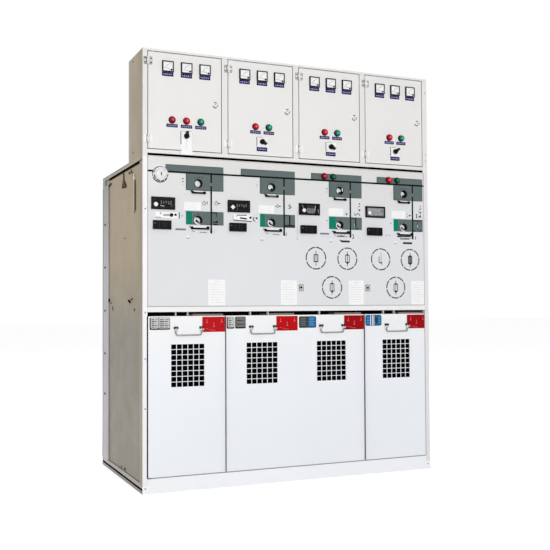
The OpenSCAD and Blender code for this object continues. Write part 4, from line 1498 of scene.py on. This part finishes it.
def add_base_side(face, x_plane, way):
    """The light rail along one side of the base, and a near black sheet in its groove as painted shadow."""
    piece = Piece(f"base_side_{face}", "cabinet", "housing_white", face, (x_plane, 0, 0))
    near, far = sorted((way * (FRONT + 1 * MM), way * (FRONT + 734 * MM)))
    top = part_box("side_panel_left")[0].z - 0.6 * MM
    piece.slab(rounded(near, far, GROOVE_HIGH * MM, top), 0, 0.1 * MM, "rail_side")
    piece.slab(rounded(near, far, (GROOVE_LOW + 0.2) * MM, (GROOVE_HIGH - 0.2) * MM), GROOVE_DEEP * MM,
               (GROOVE_DEEP - 1) * MM, "shadow")
    piece.done()


def add_left_fittings():
    """What hangs on the left sheet: a hooked rod, a cable horn, clips and small catches."""
    sheet_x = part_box("side_panel_left")[0].x
    piece = Piece("left_fittings", "cabinet", "zinc_grey", "left", (sheet_x, 0, 0))

    def place(y, z, out=0.0):
        return (-(FRONT + y * MM), -out * MM, z * MM)

    def mark(y, z, w, h, mat, turn=0.0, thick=1.5):
        x, _, z0 = place(y, z)
        a = math.radians(turn)
        dx, dz = w / 2 * MM * math.cos(a), w / 2 * MM * math.sin(a)
        piece.slab(stroke(x - dx, z0 - dz, x + dx, z0 + dz, h * MM), 0, thick * MM, mat, 0.3 * MM)

    # The rod is a tan strip with darker strips either side as painted shade on its round faces.
    for y, w, thick, mat in ((149, 15, 4.5, "tan_rod"), (137, 9, 3.5, "brown_shade_and_fitting"), (158.5, 4, 2.5, "brown_shade_and_fitting")):
        mark(y, 1200, w, 126, mat, 0, thick)
    # The bend is bright steel as a painted highlight on the rod.
    bend = [(148, 1262), (147, 1274), (146, 1282), (152, 1289), (168, 1294)]
    piece.rod([place(y, z, 2.9) for y, z in bend], 2.8 * MM, "steel", 14)
    hook = [(168, 1294), (186, 1300), (200, 1306), (214, 1310), (227, 1309), (235, 1303)]
    piece.rod([place(y, z, 2.9) for y, z in hook], 2.8 * MM, "hook", 14)
    mark(149, 1133, 12, 8, "hook")
    mark(207, 1312, 18, 6, "hook", 20, 2.5)
    mark(178, 1293, 12, 5, "brown_shade_and_fitting", -30, 2.5)
    horn = [place(y, z) for y, z in ((334, 1322), (346, 1322), (349, 1296), (366, 1268), (364, 1256),
                                     (290, 1252),
                                     (288, 1263), (324, 1288))]
    piece.slab([(x, z) for x, _, z in horn], 0, 2.5 * MM, "brown_shade_and_fitting", 0.8 * MM)
    rib = [place(y, z) for y, z in ((338, 1312), (342, 1312), (344, 1290), (336, 1262), (330, 1262))]
    piece.slab([(x, z) for x, _, z in rib], -2.5 * MM, 0.4 * MM, "hook", 0.1 * MM)
    mark(317, 1073, 10, 12, "duct")
    mark(321, 1036, 9, 5, "brown_shade_and_fitting")
    mark(612, 769, 14, 14, "shadow", 0, 4)
    mark(580, 757, 40, 4, "brown_shade_and_fitting", 4)
    mark(233, 763, 34, 7, "shadow", -14, 4)
    mark(196, 772, 26, 5, "brown_shade_and_fitting", 10, 3)
    mark(548, 733, 10, 20, "brown_shade_and_fitting")
    mark(150, 728, 12, 9, "brown_shade_and_fitting", 15)
    mark(598, 1303, 40, 10, "brown_shade_and_fitting", 8, 4)
    mark(376, 46, 16, 5, "brown_shade_and_fitting")
    mark(312, 48, 26, 7, "brown_shade_and_fitting")
    piece.done()


# ---- cable covers ----


def add_cover_plates():
    """Small plates along the top of each cover, with plain blocks in place of print."""
    pieces = {body: Piece(f"plates_{body}", body, "cover_white") for body in sorted(set(COVERS))}
    for k in BAYS:
        drawing = on_cover(pieces[COVERS[k]], k)
        if k < 2:
            spans = [(8.5, 40, "silver_plate"), (41, 87.5, "silver_plate")]
            spans = spans if k == 0 else [(10, 38, "silver_plate"), (47, 88.5, "plate_mark")]
            for left, right, mat in spans:
                drawing.plate(left - 3.6, right + 1.4, 4.6, 54, 0.8, "ink", 5)
                drawing.plate(left + 0.6, right - 0.3, 5.6, 48.6, 1.1, mat, 4)
                face = drawing.raised(1.1)
                for i in range(5):
                    drop = 11 + 7.6 * i
                    dark = "dim" if i % 2 else "plate_mark"
                    face.box(left + 4, (left + right) / 2 - 1 + i % 2 * 2, drop, drop + 4, dark)
                    face.box((left + right) / 2 + 3, right - 4 - i % 3 * 3, drop + 1, drop + 4, dark)
        elif k == 2:
            drawing.plate(9.5, 91, 6.5, 55.5, 0.8, "ink", 6)
            drawing.plate(11, 52, 7.5, 54, 1.1, "dark_plate", 5)
            drawing.plate(51, 90, 7.5, 54, 1.15, "blue_plate", 5)
            face = drawing.raised(1.15)
            for i in range(5):
                face.box(16, 44 - 5 * (i % 2), 13 + 7.4 * i, 16 + 7.4 * i, "grey_ink")
                face.box(58, 84 - 6 * (i % 2), 13 + 7.4 * i, 16 + 7.4 * i, "blue_mark")
        else:
            drawing.plate(7.6, 89, 3.4, 51.6, 1.1, "blue_plate", 9)
            face = drawing.raised(1.1)
            for x in (33.5, 42.5, 50):
                face.box(x - 1.6, x + 1.6, 6, 50, "white_label")
            face.box(55.5, 70, 14, 36, "dark_plate", 2)
            face.box(64, 68, 34, 42, "ink", 1)
            for i in range(3):
                face.box(14, 27, 14 + 11 * i, 18 + 11 * i, "blue_mark")
                face.box(74, 83, 14 + 11 * i, 18 + 11 * i, "blue_mark")
    for piece in pieces.values():
        piece.done()


RED_LABEL_X = [(225, 323.5), (229, 328), (226.5, 323.5), (221, 313.5)]


def add_red_labels():
    """Plain red notices: deep red with a few faint paler strokes."""
    for k, (x0, x1) in enumerate(RED_LABEL_X):
        piece = Piece(f"red_label_{k + 1}", COVERS[k], "cover_white")
        drawing = on_cover(piece, k)
        drawing.plate(x0, x1, 4, 66, 0.8, "red_label" if k < 2 else "deep_red_label", 1)
        face = drawing.raised(0.8)
        for x, top, low in ((20, 13, 30), (50, 27, 46), (84, 12, 28)):
            face.line(x0 + x, top, x0 + x, low, 1.8, "red_mark")
            face.box(x0 + x - 5, x0 + x + 5, low - 3, low - 1.4, "red_mark")
        for i in range(3):
            face.box(x0 + 16 + 12 * i, x0 + 24 + 16 * i, 52 + 3 * i, 53.4 + 3 * i, "red_mark")
        piece.done()


VENT_LEFT, VENT_RIGHT = 94, 233.5
VENT_TOP, VENT_LOW = 111, 284.6


# A near black plate behind each cover's vents, as painted shadow inside the cabinet.
def add_vent_shade():
    for k in BAYS:
        piece = Piece(f"vent_shade_{k + 1}", COVERS[k], "black_plastic")
        drawing = Drawing(piece, bay_x(k), COVER_TOP, FRONT + 18 * MM)
        drawing.plate(VENT_LEFT - 8, VENT_RIGHT + 6, VENT_TOP - 8, VENT_LOW + 8, 3, "shadow", 2)
        piece.done()


EYE_X, EYE_DROP = (112.5, 220.5), 50
EYE_SIZE, EYE_CHEEK, EYE_SLOT, EYE_OUT = 15, 4, 7, 13


def add_eye_brackets():
    """A dark cap over the top and the two cheeks of each eye, clear of the handle in its slot."""
    lap = 0.3
    for k in BAYS:
        piece = Piece(f"eye_brackets_{k + 1}", COVERS[k], "bright_metal")
        drawing = on_cover(piece, k)
        front = drawing.raised(EYE_OUT)
        top = EYE_DROP - EYE_SIZE / 2
        for x in EYE_X:
            front.plate(x - 6, x + 6, top - lap, top + 2.8, 0.8, "lug", 1.5, 0.2)
            for side in (-1, 1):
                middle = x + side * (EYE_SLOT + EYE_CHEEK) / 2
                half = EYE_CHEEK / 2 + lap
                drawing.plate(middle - half, middle + half, top - lap, EYE_DROP + 2, EYE_OUT + lap,
                              "lug", 1.2,
                              0.3)
        piece.done()


# ---- the whole ----

bpy.context.scene.view_settings.view_transform = "Standard"
add_camera()
add_world()
add_floor()
add_softbox("key", (-0.5, -9.5, 1.2), (0.0, 0.0, 0.6), 3.4, 512)
add_softbox("fill", (-8.0, -2.0, 2.8), (0.0, 0.0, 0.9), 4.0, 50)
add_softbox("top", (0.0, 2.5, 6.0), (0.0, 0.5, 0.0), 3.5, 160)

dress_cad()
for bay in BAYS:
    add_door_lamps(bay)
    add_meter_faces(bay)
    add_door_labels(bay)
    add_door_lock(bay)
    add_selector_mark(bay)
    add_indicator_face(bay)
    add_voltage_box_ribs(bay)
add_sill_tag()
add_hinges()
add_mimic_lines()
add_plate_edge_shades()
add_fascia_prints()
add_lever_ends()
add_sliders()
add_gauge_face()
add_fuse_marks()
add_instruction_labels()
add_fascia_lamps()
add_shaft_faces()
add_joint_shadows()
add_slot_tabs()
add_cover_gap_shadows()
add_cover_joint_shades()
add_post_screws()
add_back_screws("rear_panel", 6, 5)
add_back_screws("lv_housing", 6, 2)
for side, sheet, sign in (("left", "side_panel_left", -1), ("right", "side_panel_right", 1)):
    outer = LEFT if side == "left" else RIGHT
    sheet_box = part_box(sheet)
    add_side_screws(side, outer, sign)
    add_side_shadows(side, sheet_box[0].x if side == "left" else sheet_box[1].x, sign)
    add_edge_shades(side, outer, sign)
    add_base_side(side, outer, sign)
add_left_fittings()
add_cover_plates()
add_red_labels()
add_vent_shade()
add_eye_brackets()
